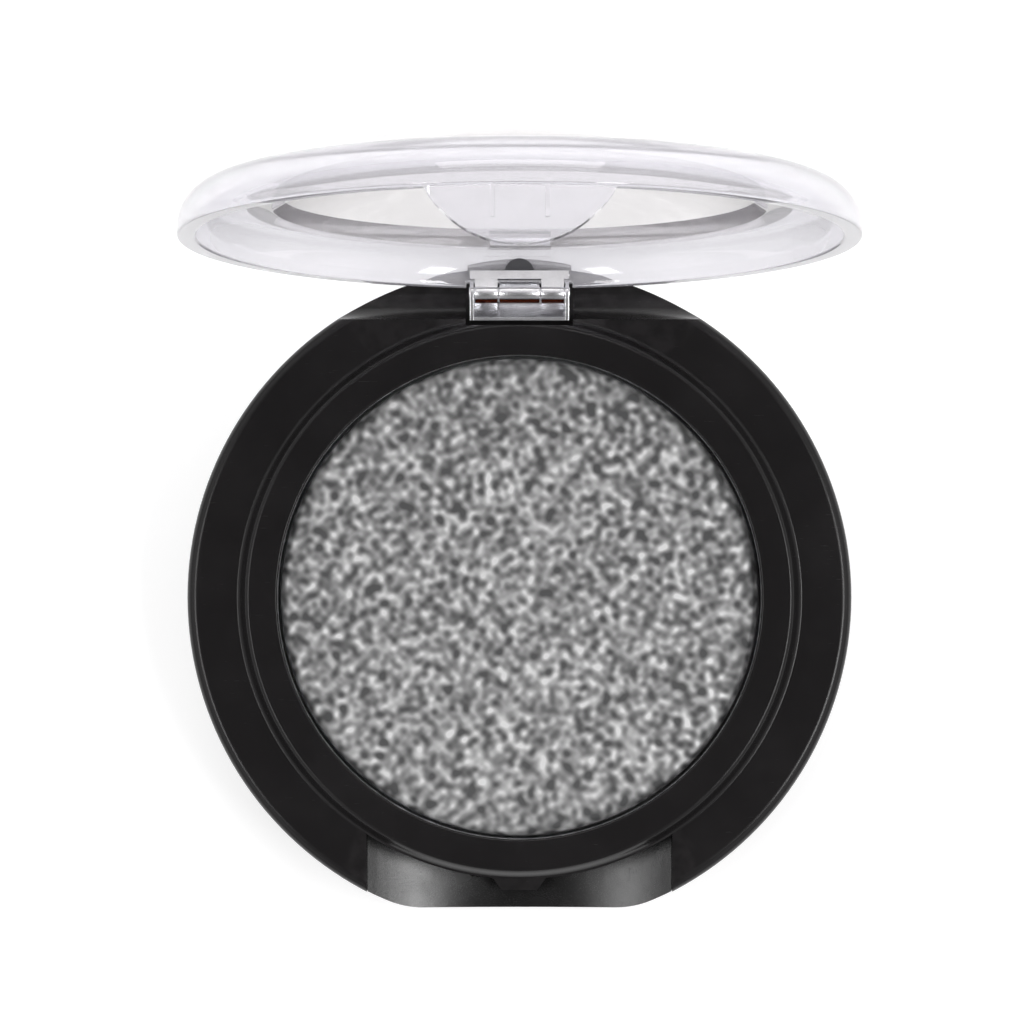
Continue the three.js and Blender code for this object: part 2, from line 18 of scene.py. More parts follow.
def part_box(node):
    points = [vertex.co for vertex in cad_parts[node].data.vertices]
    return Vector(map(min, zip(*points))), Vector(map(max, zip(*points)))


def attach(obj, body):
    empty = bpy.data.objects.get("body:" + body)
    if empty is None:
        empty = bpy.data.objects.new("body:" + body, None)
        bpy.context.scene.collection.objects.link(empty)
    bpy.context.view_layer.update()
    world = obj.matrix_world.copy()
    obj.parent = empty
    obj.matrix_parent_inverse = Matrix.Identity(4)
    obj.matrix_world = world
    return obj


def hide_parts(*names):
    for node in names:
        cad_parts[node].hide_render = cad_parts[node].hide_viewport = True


bl_info = {
    "name": "Round Eyeshadow Compact",
    "version": (1, 0, 0),
    "blender": (4, 5, 0),
    "location": "3D View > Sidebar > Compact",
    "description": "Makes the pieces, finishes and studio of a round eyeshadow compact",
    "category": "Object",
}

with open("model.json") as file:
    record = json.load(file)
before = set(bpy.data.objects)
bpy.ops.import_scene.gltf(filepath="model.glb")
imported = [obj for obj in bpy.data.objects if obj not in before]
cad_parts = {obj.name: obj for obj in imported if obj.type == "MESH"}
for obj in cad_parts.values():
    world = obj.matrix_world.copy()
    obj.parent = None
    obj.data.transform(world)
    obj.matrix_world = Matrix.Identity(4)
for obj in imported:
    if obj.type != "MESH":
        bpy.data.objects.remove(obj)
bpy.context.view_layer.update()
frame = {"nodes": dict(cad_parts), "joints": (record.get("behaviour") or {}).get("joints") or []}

TURN_STEPS = 180  # sides of a turned piece
PIN_STEPS = 48  # sides of a knuckle or pin
ROUND_STEPS = 4  # points on a small rounded corner
CURVE_STEPS = 14  # points on a long curve
SMOOTH_ANGLE = math.radians(32)  # edges sharper than this stay crisp
ROUND_ANGLE = math.radians(40)  # edges sharper than this are rounded
WELD = 1e-6  # corners closer than this are one
BEVEL_WELD = 1e-5  # the same, before edges are rounded
SINK = 2e-4  # how deep joined shapes reach into each other
PAST = 1e-3  # how far a cutter stands past what it cuts
TALL = 0.04  # higher than the closed compact
EVEN = 90  # how strongly large faces are kept flat
NEARLY_HALF = 2.2  # divides a wall so that the roundings of its two edges don't meet
CHEEK_FOOT = -30  # degrees round the axis where a hinge cheek's round side starts

hinge = frame["joints"][0]
AXIS = Vector(hinge["pos_m"])
OPEN_ANGLE = math.radians(hinge["range_deg"][1])
OPENED = (
    Matrix.Translation(AXIS) @ Matrix.Rotation(-OPEN_ANGLE, 4, "X") @ Matrix.Translation(-AXIS)
)

GLUE_WAVE = 0.02  # how much of its radius the glue's edge waves
GLUE_WAVES = (3, 5)  # slow and quick waves round the glue's edge
TAB_SIDE = (0.76, 0.62)  # handle of the tab's outline at its side, in half widths and depths
TAB_END = 0.43  # handle of the tab's outline at its end, in half widths


def mm(value):
    return value / 1000


HOOK_TIP = mm(0.3)  # the hook's upright tip
SCOOP_SEAM = mm(0.4)  # past the skirt, where the tray's cut edges are rounded
STEP_SEAM = mm(0.2)  # inside the step's foot, where the deck's cut edges are rounded
POCKET_SEAM = mm(0.1)  # the same beside the pocket


def closed_box(node):
    """A lid node's lowest and highest corners, with the lid turned back to closed."""
    to_closed = OPENED.inverted()
    corners = [to_closed @ vertex.co for vertex in frame["nodes"][node].data.vertices]
    return Vector(map(min, *corners)), Vector(map(max, *corners))


# ---- Sizes and colours ----


def length(name, description, default):
    return FloatProperty(
        name=name, description=description, default=default, min=0, precision=5, unit="LENGTH"
    )


def share(name, description, default):
    return FloatProperty(
        name=name, description=description, default=default, min=0, max=1, subtype="FACTOR"
    )


def colour(name, description, default):
    return FloatVectorProperty(
        name=name, description=description, default=default, size=4, min=0, max=1, subtype="COLOR"
    )


class CompactBase(PropertyGroup):
    """Sizes of the tray and the deck."""

    tray_wall: length("Tray Wall", "Thickness of the tray and the deck's outer wall", mm(1.4))
    foot_radius: length("Foot Radius", "Outer radius of the flat foot", mm(19))
    parting_height: length("Parting Height", "Where the tray meets the deck", mm(4.4))
    parting_groove: length("Parting Groove", "Rounding at the seam of tray and deck", mm(0.12))
    floor_top: length("Floor Top", "Top of the tray's floor", mm(1.8))
    boss_radius: length("Boss Radius", "Middle boss under the pan", mm(5))
    rib_count: IntProperty(name="Rib Count", description="Ribs under the pan", default=6, min=1)
    rib_thickness: length("Rib Thickness", "Thickness of a rib under the pan", mm(0.8))
    label_clearance: length("Label Clearance", "Recess around the label", mm(0.2))
    well_clearance: length("Well Clearance", "Gap between the pan and the well wall", mm(0.3))
    well_wall: length("Well Wall", "Thickness of the well wall", mm(1))
    well_top_gap: length("Well Top Gap", "Gap between the well wall and the lip", mm(0.1))
    skirt_clearance: length("Skirt Clearance", "Gap from the well wall to the skirt", mm(0.2))
    skirt_wall: length("Skirt Wall", "Thickness of the deck's inner skirt", mm(1.2))
    lip_overlap: length("Lip Overlap", "How far the lip covers the pan", mm(0.3))
    lip_thickness: length("Lip Thickness", "Thickness of the lip over the pan", mm(1))
    lip_round: length("Lip Round", "Rounding of the lip at the opening", mm(0.15))
    step_drop: length("Step Drop", "From the raised ring down to the ledge", mm(1))
    step_width: length("Step Width", "Width of the step", mm(1))
    step_offset: length("Step Offset", "The step's foot beyond the skirt", mm(0.1))
    deck_skin: length("Deck Skin", "Thickness of the deck's top", mm(1.3))
    edge_round: length("Edge Round", "Rounding of the deck's outer edge", mm(0.8))
    notch_half_width: length("Notch Half Width", "Half the thumb notch's width", mm(11.5))
    notch_cheek: length("Notch Cheek", "Walls at the notch's two sides", mm(1.1))
    scoop_clearance: length("Scoop Clearance", "Between the scoop and the cheeks", mm(0.04))
    scoop_gap: length("Scoop Gap", "Between the scoop and the skirt", mm(0.08))
    scoop_radius: length("Scoop Radius", "Radius of the scoop's hollow floor", mm(30))
    scoop_drop: length("Scoop Drop", "The scoop's floor below the thumb tab", mm(0.3))
    front_blend: length("Front Blend", "Radius from the round edge to the flat front", mm(7))
    nose_reach: length("Nose Reach", "How far the catch nose stands out", mm(0.95))
    nose_height: length("Nose Height", "Height of the catch nose", mm(1))
    nose_tip: length("Nose Tip", "Height of the catch nose's upright tip", mm(0.3))
    nose_root_half: length("Nose Root", "Half the catch nose's width at its root", mm(2.15))
    nose_tip_half: length("Nose Tip Width", "Half the catch nose's width at its tip", mm(1.35))
    trough_reach: length("Trough Reach", "The trough in front of the hinge's axis", mm(2))
    trough_depth: length("Trough Depth", "The trough's floor below the axis", mm(2.33))
    trough_flat: length("Trough Flat", "The trough's flat behind the axis", mm(1.4))
    trough_fall: length("Trough Fall", "How far the trough falls at the rear edge", mm(0.6))
    trough_wall: length("Trough Wall", "Solid in front of the trough", mm(1))
    pocket_half_width: length("Pocket Half Width", "Half the hinge pocket's width", mm(4.05))
    pocket_gap: length("Pocket Gap", "The pocket in front of the hinge leaf", mm(0.35))
    edge_break: length("Edge Break", "Rounding of the mouldings' cut edges", mm(0.09))


class CompactPowder(PropertyGroup):
    """Sizes of the pan and the powder."""

    pan_wall: length("Pan Wall", "Thickness of the pan", mm(0.35))
    pan_corner: length("Pan Corner", "Rounding at the pan's foot", mm(0.3))
    edge_drop: length("Edge Drop", "The powder's edge below the pan's rim", mm(0.3))
    shoulder: length("Shoulder", "How far the powder rounds off at its edge", mm(0.5))
    shoulder_drop: length("Shoulder Drop", "How much lower the powder's edge lies", mm(0.35))
    grid: IntProperty(name="Grid", description="Cells across the powder's top", default=250, min=8)
    edge_gap: length("Edge Gap", "Crevice between the powder and the pan", mm(0.22))
    grain_size: length("Grain Size", "Width of the pressed grains", mm(0.72))
    grain_height: length("Grain Height", "Height of the pressed grains", mm(0.035))
    seed: IntProperty(name="Seed", description="Seed of the grains", default=11, min=0)


class CompactHinge(PropertyGroup):
    """Sizes of the hinge."""

    pin_play: length("Pin Play", "Gap around the pin", mm(0.05))
    centre_half: length("Centre Knuckle", "Half the middle knuckle's length", mm(1.5))
    knuckle_gap: length("Knuckle Gap", "Gap between knuckles", mm(0.15))
    lid_knuckle: length("Lid Knuckle", "Length of a lid knuckle", mm(1.7))
    cheek_thickness: length("Cheek Thickness", "Thickness of the base leaf's cheeks", mm(0.27))
    leaf_floor: length("Leaf Floor", "Thickness of the base leaf's floor", mm(0.5))
    leaf_lip: length("Leaf Lip", "Thickness of the base leaf's front lip", mm(0.25))
    lip_rise: length("Lip Rise", "The front lip above the axis", mm(0.67))
    leaf_flat: length("Leaf Flat", "Flat floor before it curves up to the lip", mm(0.5))
    flange_thickness: length("Flange Thickness", "Thickness of the lid leaf", mm(0.4))
    flange_offset: length("Flange Offset", "The lid leaf's face from the axis", mm(0.7))
    swing_gap: length("Swing Gap", "Gap outside the knuckles", mm(0.15))
    pad_height: length("Pad Height", "Height of the pad's straight part", mm(0.75))
    pad_tongue: length("Pad Tongue", "Radius of the pad's round tongue", mm(1.13))
    edge_break: length("Edge Break", "Rounding of the metal's edges", mm(0.05))


class CompactLid(PropertyGroup):
    """Sizes of the clear lid."""

    seat_gap: length("Seat Gap", "Under the closed lid's rim", mm(0.1))
    wall: length("Wall", "Thickness of the rim", mm(1.4))
    straight: length("Straight", "Upright part of the rim", mm(0.7))
    shoulder: length("Shoulder", "Radius of the rim's round shoulder", mm(3.2))
    rim_round: length("Rim Round", "Rounding of the rim's lower edges", mm(0.2))
    dome_thickness: length("Dome Thickness", "Thickness of the dome", mm(1.2))
    dome_gap: length("Dome Gap", "Gap around the dome", mm(0.1))
    tab_half_width: length("Tab Half Width", "Half the thumb tab's width", mm(6.8))
    tab_thickness: length("Tab Thickness", "Thickness of the thumb tab", mm(1.2))
    tab_inset: length("Tab Inset", "The tab inside the rim's edge", mm(0.1))
    tab_rib_spacing: length("Tab Rib Spacing", "Between the tab's two ribs", mm(3.8))
    tab_rib_width: length("Tab Rib Width", "Width of a rib on the tab", mm(0.35))
    tab_rib_reach: length("Tab Rib Reach", "How far a tab rib stands out", mm(0.6))
    tab_rib_length: length("Tab Rib Length", "Length of a tab rib", mm(2.15))
    hook_half_width: length("Hook Half Width", "Half the hook's width", mm(2.1))
    hook_height: length("Hook Height", "Height of the hook", mm(1))
    hook_bite: length("Hook Bite", "How far the hook reaches under the nose", mm(0.45))
    hook_play: length("Hook Play", "Between the hook and the nose", mm(0.1))
    lug_half_width: length("Lug Half Width", "Half the hinge lug's width", mm(3.9))
    lug_height: length("Lug Height", "Height of the hinge lug", mm(1.9))
    lug_depth: length("Lug Depth", "Depth of the hinge lug", mm(0.85))
    lug_gap: length("Lug Gap", "Between the pad and the lug", mm(0.06))
    notch_half_width: length("Rim Notch", "Half the rim's notch over the hinge", mm(4))
    notch_gap: length("Rim Notch Gap", "Above the base leaf's knuckle", mm(0.12))
    pad_seat_gap: length("Pad Seat Gap", "Around the pad in the lid", mm(0.15))
    edge_break: length("Edge Break", "Rounding of the clear plastic's cut edges", mm(0.07))


class CompactFinish(PropertyGroup):
    """Colours and finishes."""

    tray: colour("Tray", "Satin lower moulding", (0.005, 0.0047, 0.0048, 1))
    tray_rough: share("Tray Roughness", "Gloss of the lower moulding", 0.23)
    deck: colour("Deck", "Upper moulding", (0.0094, 0.0086, 0.009, 1))
    deck_rough: share("Deck Roughness", "Gloss of the upper moulding", 0.22)
    powder_dark: colour("Powder Shade", "Hollows of the powder", (0.06, 0.06, 0.061, 1))
    powder_light: colour("Powder Light", "Lit flakes of the powder", (0.69, 0.69, 0.69, 1))
    aluminium: colour("Pan", "Pressed aluminium", (0.62, 0.63, 0.64, 1))
    steel: colour("Steel", "Polished hinge", (0.9, 0.9, 0.92, 1))
    # Painted shade: a dark red-brown band where the gap between the knuckles and the leaf's floor lies
    # in shade.
    steel_line: colour("Knuckle Gap Shade", "Painted shade in the gap along the knuckles", (0.12, 0.022, 0.006, 1))
    pad: colour("Pad", "Soft hinge pad", (0.045, 0.045, 0.05, 1))
    rim: colour("Rim", "Milky tint of the lid's rim", (0.89, 0.88, 0.915, 1))
    rim_clear: share("Rim Clearness", "How much light goes straight through the rim", 0.74)
    dome: colour("Dome", "Tint of the lid's dome", (0.9, 0.885, 0.89, 1))
    dome_clear: share("Dome Clearness", "How much light goes straight through the dome", 0.9)
    glue: colour("Glue", "Glue under the pan", (0.74, 0.7, 0.6, 1))
    paper: colour("Paper", "Label on the underside", (0.86, 0.86, 0.84, 1))
    label_ink: colour("Label Ink", "Plain printed rings of the label", (0.05, 0.05, 0.055, 1))


class CompactStudio(PropertyGroup):
    """Camera, lights and floor."""

    camera_height: length("Camera Height", "Camera above the floor", 0.64)
    camera_lens: FloatProperty(
        name="Lens", description="Focal length", default=295.3, subtype="DISTANCE_CAMERA"
    )
    aim_side: FloatProperty(
        name="Aim Side", description="Camera beside the centre", default=mm(-0.56), unit="LENGTH"
    )
    aim_rear: length("Aim Rear", "Camera behind the centre", mm(6.4))
    floor_size: length("Floor Size", "Side of the floor", 8)
    floor: colour("Floor", "Pale floor", (0.6, 0.6, 0.6, 1))
    floor_glow: share("Floor Glow", "Light that comes up through the floor", 0.58)
    sky: FloatProperty(name="Sky", description="Strength of the white surround", default=1.0)
    dark_card: share("Dark Card", "Strength of the dark card overhead", 0.1)
    dark_inner: FloatProperty(
        name="Card Edge", description="Where the card ends", default=math.radians(22),
        subtype="ANGLE",
    )
    dark_outer: FloatProperty(
        name="Surround Edge", description="Where the white surround is full",
        default=math.radians(48), subtype="ANGLE",
    )
    horizon: share("Horizon", "How much of the surround is left low down", 0.25)
    front: share("Front", "How much of the surround is left at the front", 0.25)


# ---- Outlines ----


def arc(centre, radii, start, end, steps=CURVE_STEPS):
    """Points on an ellipse between two angles in degrees, both ends included."""
    angles = [math.radians(start + (end - start) * i / steps) for i in range(steps + 1)]
    return [(centre[0] + radii[0] * math.cos(a), centre[1] + radii[1] * math.sin(a)) for a in angles]


def curve(start, first, second, end, steps=CURVE_STEPS):
    """Points on a cubic curve, both ends included."""
    points = []
    for i in range(steps + 1):
        t = i / steps
        weights = ((1 - t) ** 3, 3 * t * (1 - t) ** 2, 3 * t * t * (1 - t), t ** 3)
        corners = (start, first, second, end)
        points.append(tuple(sum(w * c[k] for w, c in zip(weights, corners)) for k in (0, 1)))
    return points


def fillet(before, corner, after, radius):
    """Points that round one corner of an outline."""
    here = Vector(corner)
    back = (Vector(before) - here).normalized()
    on = (Vector(after) - here).normalized()
    half = back.angle(on) / 2
    reach = radius / math.tan(half)
    centre = here + (back + on).normalized() * radius / math.sin(half)
    first = here + back * reach - centre
    last = here + on * reach - centre
    turn = first.angle_signed(last)
    points = []
    for i in range(ROUND_STEPS + 1):
        points.append(tuple(centre + Matrix.Rotation(-turn * i / ROUND_STEPS, 2) @ first))
    return points


def outline(*items):
    """A closed outline of corners (a, b), rounded corners (a, b, radius) and lists of points."""
    flat = []
    for item in items:
        flat.extend(item if isinstance(item, list) else [item])
    points = []
    for i, corner in enumerate(flat):
        if len(corner) == 3:
            points += fillet(flat[i - 1][:2], corner[:2], flat[(i + 1) % len(flat)][:2], corner[2])
        else:
            points.append(corner)
    return points


# ---- Solids ----


def set_out(name, data):
    """A new object in the scene."""
    made = bpy.data.objects.new(name, data)
    bpy.context.scene.collection.objects.link(made)
    return made


def solid(shape):
    """A bmesh as an object with its faces pointing out."""
    bmesh.ops.remove_doubles(shape, verts=shape.verts, dist=WELD)
    bmesh.ops.recalc_face_normals(shape, faces=shape.faces)
    mesh = bpy.data.meshes.new("solid")
    shape.to_mesh(mesh)
    shape.free()
    return set_out("solid", mesh)


def turned(points):
    """A closed outline in radius and height, turned about the Z axis."""
    shape = bmesh.new()
    rings = []
    angles = [2 * math.pi * i / TURN_STEPS for i in range(TURN_STEPS)]
    for radius, height in points:
        if radius < WELD:
            rings.append([shape.verts.new((0, 0, height))] * TURN_STEPS)
            continue
        rings.append(
            [shape.verts.new((radius * math.cos(a), radius * math.sin(a), height)) for a in angles]
        )
    for lower, upper in zip(rings, rings[1:] + rings[:1]):
        for i in range(TURN_STEPS):
            j = (i + 1) % TURN_STEPS
            corners = list(dict.fromkeys((lower[i], lower[j], upper[j], upper[i])))
            if len(corners) > 2:
                shape.faces.new(corners)
    return solid(shape)


def pushed(points, axis, low, high):
    """A closed outline in the two other axes, pushed along one axis from low to high."""
    order = {"X": (2, 0, 1), "Y": (0, 2, 1), "Z": (0, 1, 2)}[axis]
    shape = bmesh.new()
    ends = []
    for level in (low, high):
        corners = [(a, b, level) for a, b in points]
        ends.append([shape.verts.new([corner[k] for k in order]) for corner in corners])
    shape.faces.new(ends[0])
    shape.faces.new(ends[1])
    for i, start in enumerate(ends[0]):
        j = (i + 1) % len(points)
        shape.faces.new((start, ends[0][j], ends[1][j], ends[1][i]))
    return solid(shape)


def block(x, y, z):
    """A box between two places along each axis."""
    corners = [(x[0], y[0]), (x[1], y[0]), (x[1], y[1]), (x[0], y[1])]
    return pushed(corners, "Z", *z)


def disc(radius, low, high):
    return turned([(0, low), (radius, low), (radius, high), (0, high)])


def ring(inner, outer, low, high):
    return turned([(inner, low), (outer, low), (outer, high), (inner, high)])


def rod(radius, low, high):
    """A round bar along the hinge's axis."""
    return pushed(arc((AXIS.y, AXIS.z), (radius, radius), 0, 360, PIN_STEPS)[:-1], "X", low, high)


def settled(body):
    """The object with what its modifiers make as its plain mesh."""
    evaluated = body.evaluated_get(bpy.context.evaluated_depsgraph_get())
    mesh = bpy.data.meshes.new_from_object(evaluated)
    body.modifiers.clear()
    old = body.data
    body.data = mesh
    bpy.data.meshes.remove(old)
    return body


def applied(body, kind, **settings):
    """The object with one modifier applied to its mesh."""
    modifier = body.modifiers.new(kind.title(), kind)
    for name, value in settings.items():
        setattr(modifier, name, value)
    return settled(body)


def combined(body, others, operation):
    """The body with each other shape joined, cut away or intersected in turn."""
    for other in others:
        applied(body, "BOOLEAN", operation=operation, solver="MANIFOLD", object=other)
        bpy.data.meshes.remove(other.data)
    return body


def joined(body, *others):
    return combined(body, others, "UNION")


def cut(body, *others):
    return combined(body, others, "DIFFERENCE")


def inside(body, *others):
    return combined(body, others, "INTERSECT")


def rounded(body, width, where=None):
    """The object with its crisp edges rounded, or those of them whose middle is in a place."""
    welded(body)
    shape = bmesh.new()
    shape.from_mesh(body.data)
    chosen = shape.edges.layers.float.new("bevel_weight_edge")
    for edge in shape.edges:
        crisp = edge.is_manifold and edge.calc_face_angle() > ROUND_ANGLE
        middle = (edge.verts[0].co + edge.verts[1].co) / 2
        edge[chosen] = 1 if crisp and (where is None or where(middle)) else 0
    shape.to_mesh(body.data)
    shape.free()
    applied(body, "BEVEL", width=width, segments=2, limit_method="WEIGHT")
    return shaded(body)


def shaded(body):
    """The object smooth between its crisp edges, with its large faces kept flat."""
    body.data.shade_smooth()
    body.data.set_sharp_from_angle(angle=SMOOTH_ANGLE)
    return applied(body, "WEIGHTED_NORMAL", keep_sharp=True, weight=EVEN)


def welded(body):
    """Merges corners that lie too close together for a rounded edge."""
    shape = bmesh.new()
    shape.from_mesh(body.data)
    bmesh.ops.remove_doubles(shape, verts=shape.verts, dist=BEVEL_WELD)
    bmesh.ops.dissolve_degenerate(shape, edges=shape.edges, dist=WELD)
    bmesh.ops.recalc_face_normals(shape, faces=shape.faces)
    shape.to_mesh(body.data)
    shape.free()


def finished(body, name, rides_on, material, stands_for):
    """Names a piece, shades it, gives it its finish and hangs it on its body."""
    body.name = name
    body.data.name = name
    body.data.materials.clear()
    body.data.materials.append(material)
    if not body.data.has_custom_normals:
        body.data.shade_smooth()
        body.data.set_sharp_from_angle(angle=SMOOTH_ANGLE)
    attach(body, rides_on)
    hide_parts(stands_for)
    return body


def lid_opened(body):
    """Turns a lid piece from closed to its open stop."""
    body.data.transform(OPENED)


# ---- Places that follow from the frame and the sizes ----


def base_places(sizes):
    """Radii, heights and depths of the tray and the deck."""
    deck_low, deck_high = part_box("base_deck")
    pan_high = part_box("pan")[1]
    at = SimpleNamespace()
    at.radius = deck_high.x
    at.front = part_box("base_tray")[0].y
    at.deck_top = deck_high.z
    at.ledge = at.deck_top - sizes.step_drop
    at.lip_underside = at.deck_top - sizes.lip_thickness
    at.opening = pan_high.x - sizes.lip_overlap
    at.well = pan_high.x + sizes.well_clearance
    at.well_outer = at.well + sizes.well_wall
    at.skirt_inner = at.well_outer + sizes.skirt_clearance
    at.skirt_outer = at.skirt_inner + sizes.skirt_wall
    at.skirt_bottom = deck_low.z
    at.step_foot = at.skirt_outer + sizes.step_offset
    at.boss_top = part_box("pan_glue")[0].z
    at.trough_front = AXIS.y - sizes.trough_reach
    at.trough_floor = AXIS.z - sizes.trough_depth
    at.nose_tip = at.skirt_outer + sizes.nose_reach
    return at


def lid_places(sizes, base_sizes):
    """Radii and heights of the closed lid."""
    base = base_places(base_sizes)
    rim_low, rim_high = closed_box("lid_rim")
    dome_low, dome_high = closed_box("lid_dome")
    at = SimpleNamespace()
    at.radius = rim_high.x
    at.rim = base.ledge + sizes.seat_gap
    at.shoulder_centre = at.radius - sizes.shoulder
    at.dome_foot = dome_low.z
    rise = dome_high.z - dome_low.z
    at.dome_radius = (dome_high.x ** 2 + rise ** 2) / (2 * rise)
    at.dome_centre = dome_high.z - at.dome_radius
    at.tab_bottom = rim_low.z
    at.tab_outer = at.radius - sizes.tab_inset
    at.tab_inner = at.tab_outer - sizes.tab_thickness
    at.hook_top = at.tab_bottom + sizes.hook_height
    at.nose_tip = base.nose_tip
    return at


def hinge_places(sizes):
    """Places of the hinge's metal, with the lid closed."""
    base_low, base_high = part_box("hinge_base_leaf")
    lid_low, lid_high = closed_box("hinge_lid_leaf")
    pin_low, pin_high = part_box("hinge_pin")
    at = SimpleNamespace()
    at.knuckle = AXIS.y - lid_low.y
    at.pin_end = pin_high.x
    at.pin_radius = (pin_high.z - pin_low.z) / 2
    at.bore = at.pin_radius + sizes.pin_play
    at.cheek_end = base_high.x
    at.cheek_start = at.cheek_end - sizes.cheek_thickness
    at.leaf_front = base_low.y
    at.leaf_bottom = base_low.z
    at.leaf_floor = base_low.z + sizes.leaf_floor
    at.lip_top = AXIS.z + sizes.lip_rise
    at.knuckle_start = sizes.centre_half + sizes.knuckle_gap
    at.knuckle_end = at.knuckle_start + sizes.lid_knuckle
    at.flange = (AXIS.y - sizes.flange_offset, AXIS.y - sizes.flange_offset + sizes.flange_thickness)
    at.flange_top = lid_high.z
    at.swing = AXIS.z + at.knuckle + sizes.swing_gap
    return at


# ---- Base ----


def bowl_arc(sizes, reach, height, start, end):
    """The bowl's round side, from the flat foot up to the parting line or back."""
    return arc((sizes.foot_radius, sizes.parting_height), (reach, height), start, end)


def base_envelope(at, sizes):
    """The whole base without its hollows."""
    return turned(outline(
        (0, 0), (sizes.foot_radius, 0),
        bowl_arc(sizes, at.radius - sizes.foot_radius, sizes.parting_height, -90, 0),
        (at.radius, at.ledge), (0, at.ledge),
    ))


def tray_bowl(at, sizes):
    """The bowl with its recess for the label."""
    label_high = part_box("base_label")[1]
    recess = label_high.x + sizes.label_clearance
    inner_reach = at.radius - sizes.tray_wall - sizes.foot_radius
    groove = sizes.parting_groove
    outer = bowl_arc(sizes, at.radius - sizes.foot_radius, sizes.parting_height, -90, 0)
    inner = bowl_arc(sizes, inner_reach, sizes.parting_height - sizes.floor_top, 0, -90)
    return turned(outline(
        (0, label_high.z), (recess, label_high.z), (recess, 0, label_high.z / 2),
        outer[:-1], (outer[-1][0], outer[-1][1] - groove), (outer[-1][0] - groove, outer[-1][1]),
        inner, (0, sizes.floor_top),
    ))


def scoop_block(at, sizes):
    """The solid that the scoop is cut from."""
    half = sizes.notch_half_width - sizes.scoop_clearance
    body = block((-half, half), (-at.radius, 0), (sizes.floor_top - SINK, at.ledge))
    inside(body, base_envelope(at, sizes))
    return cut(body, disc(at.skirt_outer + sizes.scoop_gap, 0, TALL))


def scoop_cut(at, sizes):
    """What is taken away over the scoop: its floor is hollow and rises to the notch's sides."""
    low = closed_box("lid_rim")[0].z - sizes.scoop_drop
    half = math.degrees(math.asin(sizes.notch_half_width / sizes.scoop_radius))
    radii = (sizes.scoop_radius, sizes.scoop_radius)
    floor = arc((0, low + sizes.scoop_radius), radii, -90 - half, -90 + half, 2 * CURVE_STEPS)
    points = outline(floor, (sizes.notch_half_width, TALL), (-sizes.notch_half_width, TALL))
    body = pushed(points, "Y", -at.radius - SINK, 0)
    return cut(body, disc(at.skirt_outer + sizes.scoop_gap, -SINK, TALL + SINK))


def front_cut(at, sizes):
    """What is taken away at the front, so that the round edge runs smoothly into the flat."""
    blend = sizes.front_blend
    middle_y = at.front + blend
    middle_x = math.sqrt((at.radius - blend) ** 2 - middle_y ** 2)
    meet = math.degrees(math.atan2(middle_y, middle_x))
    right = arc((middle_x, middle_y), (blend, blend), -90, meet)
    left = [(-x, y) for x, y in reversed(right)]
    far = 2 * at.radius
    points = outline(left, right, (far, right[-1][1]), (far, -far), (-far, -far), (-far, right[-1][1]))
    return pushed(points, "Z", -SINK, at.ledge + SINK)


def make_tray(sizes, finish):
    """The lower moulding with its scoop, well wall, boss, ribs and label recess."""
    at = base_places(sizes)
    body = joined(
        tray_bowl(at, sizes),
        ring(at.well, at.well_outer, sizes.floor_top - SINK, at.lip_underside - sizes.well_top_gap),
        disc(sizes.boss_radius, sizes.floor_top - SINK, at.boss_top),
    )
    for i in range(sizes.rib_count):
        rib = block(
            (-sizes.rib_thickness / 2, sizes.rib_thickness / 2),
            (sizes.boss_radius - SINK, at.well + SINK), (sizes.floor_top - SINK, at.boss_top),
        )
        rib.data.transform(Matrix.Rotation(2 * math.pi * i / sizes.rib_count, 4, "Z"))
        joined(body, rib)
    joined(body, scoop_block(at, sizes))
    cut(body, scoop_cut(at, sizes), front_cut(at, sizes))
    seam = at.skirt_outer + sizes.scoop_gap + SCOOP_SEAM
    rounded(body, sizes.edge_break, lambda place: place.y < 0 and place.xy.length > seam)
    return finished(body, "tray", "base", satin_tray(finish), "base_tray")


def deck_ring(at, sizes):
    """The lip over the pan, the raised ring, the step, the ledge, the outer wall and the skirt."""
    start = at.step_foot - sizes.step_width
    middle = at.step_foot - sizes.step_width / 2
    wall = at.radius - sizes.tray_wall
    edge = sizes.edge_round
    groove = sizes.parting_groove
    step = curve((start, at.deck_top), (middle, at.deck_top), (middle, at.ledge),
                 (at.step_foot, at.ledge))
    corner = arc((at.radius - edge, at.ledge - edge), (edge, edge), 90, 0, 2 * ROUND_STEPS)
    return turned(outline(
        (at.opening, at.lip_underside), (at.opening, at.deck_top, sizes.lip_round), step, corner,
        (at.radius, sizes.parting_height + groove), (at.radius - groove, sizes.parting_height),
        (wall, sizes.parting_height), (wall, at.ledge - sizes.deck_skin),
        (at.skirt_outer, at.ledge - sizes.deck_skin), (at.skirt_outer, at.skirt_bottom),
        (at.skirt_inner, at.skirt_bottom), (at.skirt_inner, at.lip_underside),
    ))


def deck_fill(at, sizes, x, y):
    """A stretch of the deck's hollow made solid."""
    body = ring(at.skirt_inner + SINK, at.radius - SINK, sizes.parting_height,
                at.ledge - sizes.deck_skin / 2)
    return inside(body, block(x, y, (0, TALL)))


def trough_cut(at, sizes):
    """What is taken away for the rear trough that the open lid lies in."""
    back = at.radius + SINK
    front = arc((AXIS.y, at.ledge), (sizes.trough_reach, at.ledge - at.trough_floor), 180, 270)
    flat_end = (AXIS.y + sizes.trough_flat, at.trough_floor)
    knee = (at.radius, at.trough_floor)
    fall = curve(flat_end, knee, knee, (back, at.trough_floor - sizes.trough_fall))
    points = outline((at.trough_front, TALL), front, fall, (back, TALL))
    return pushed(points, "X", -at.radius, at.radius)


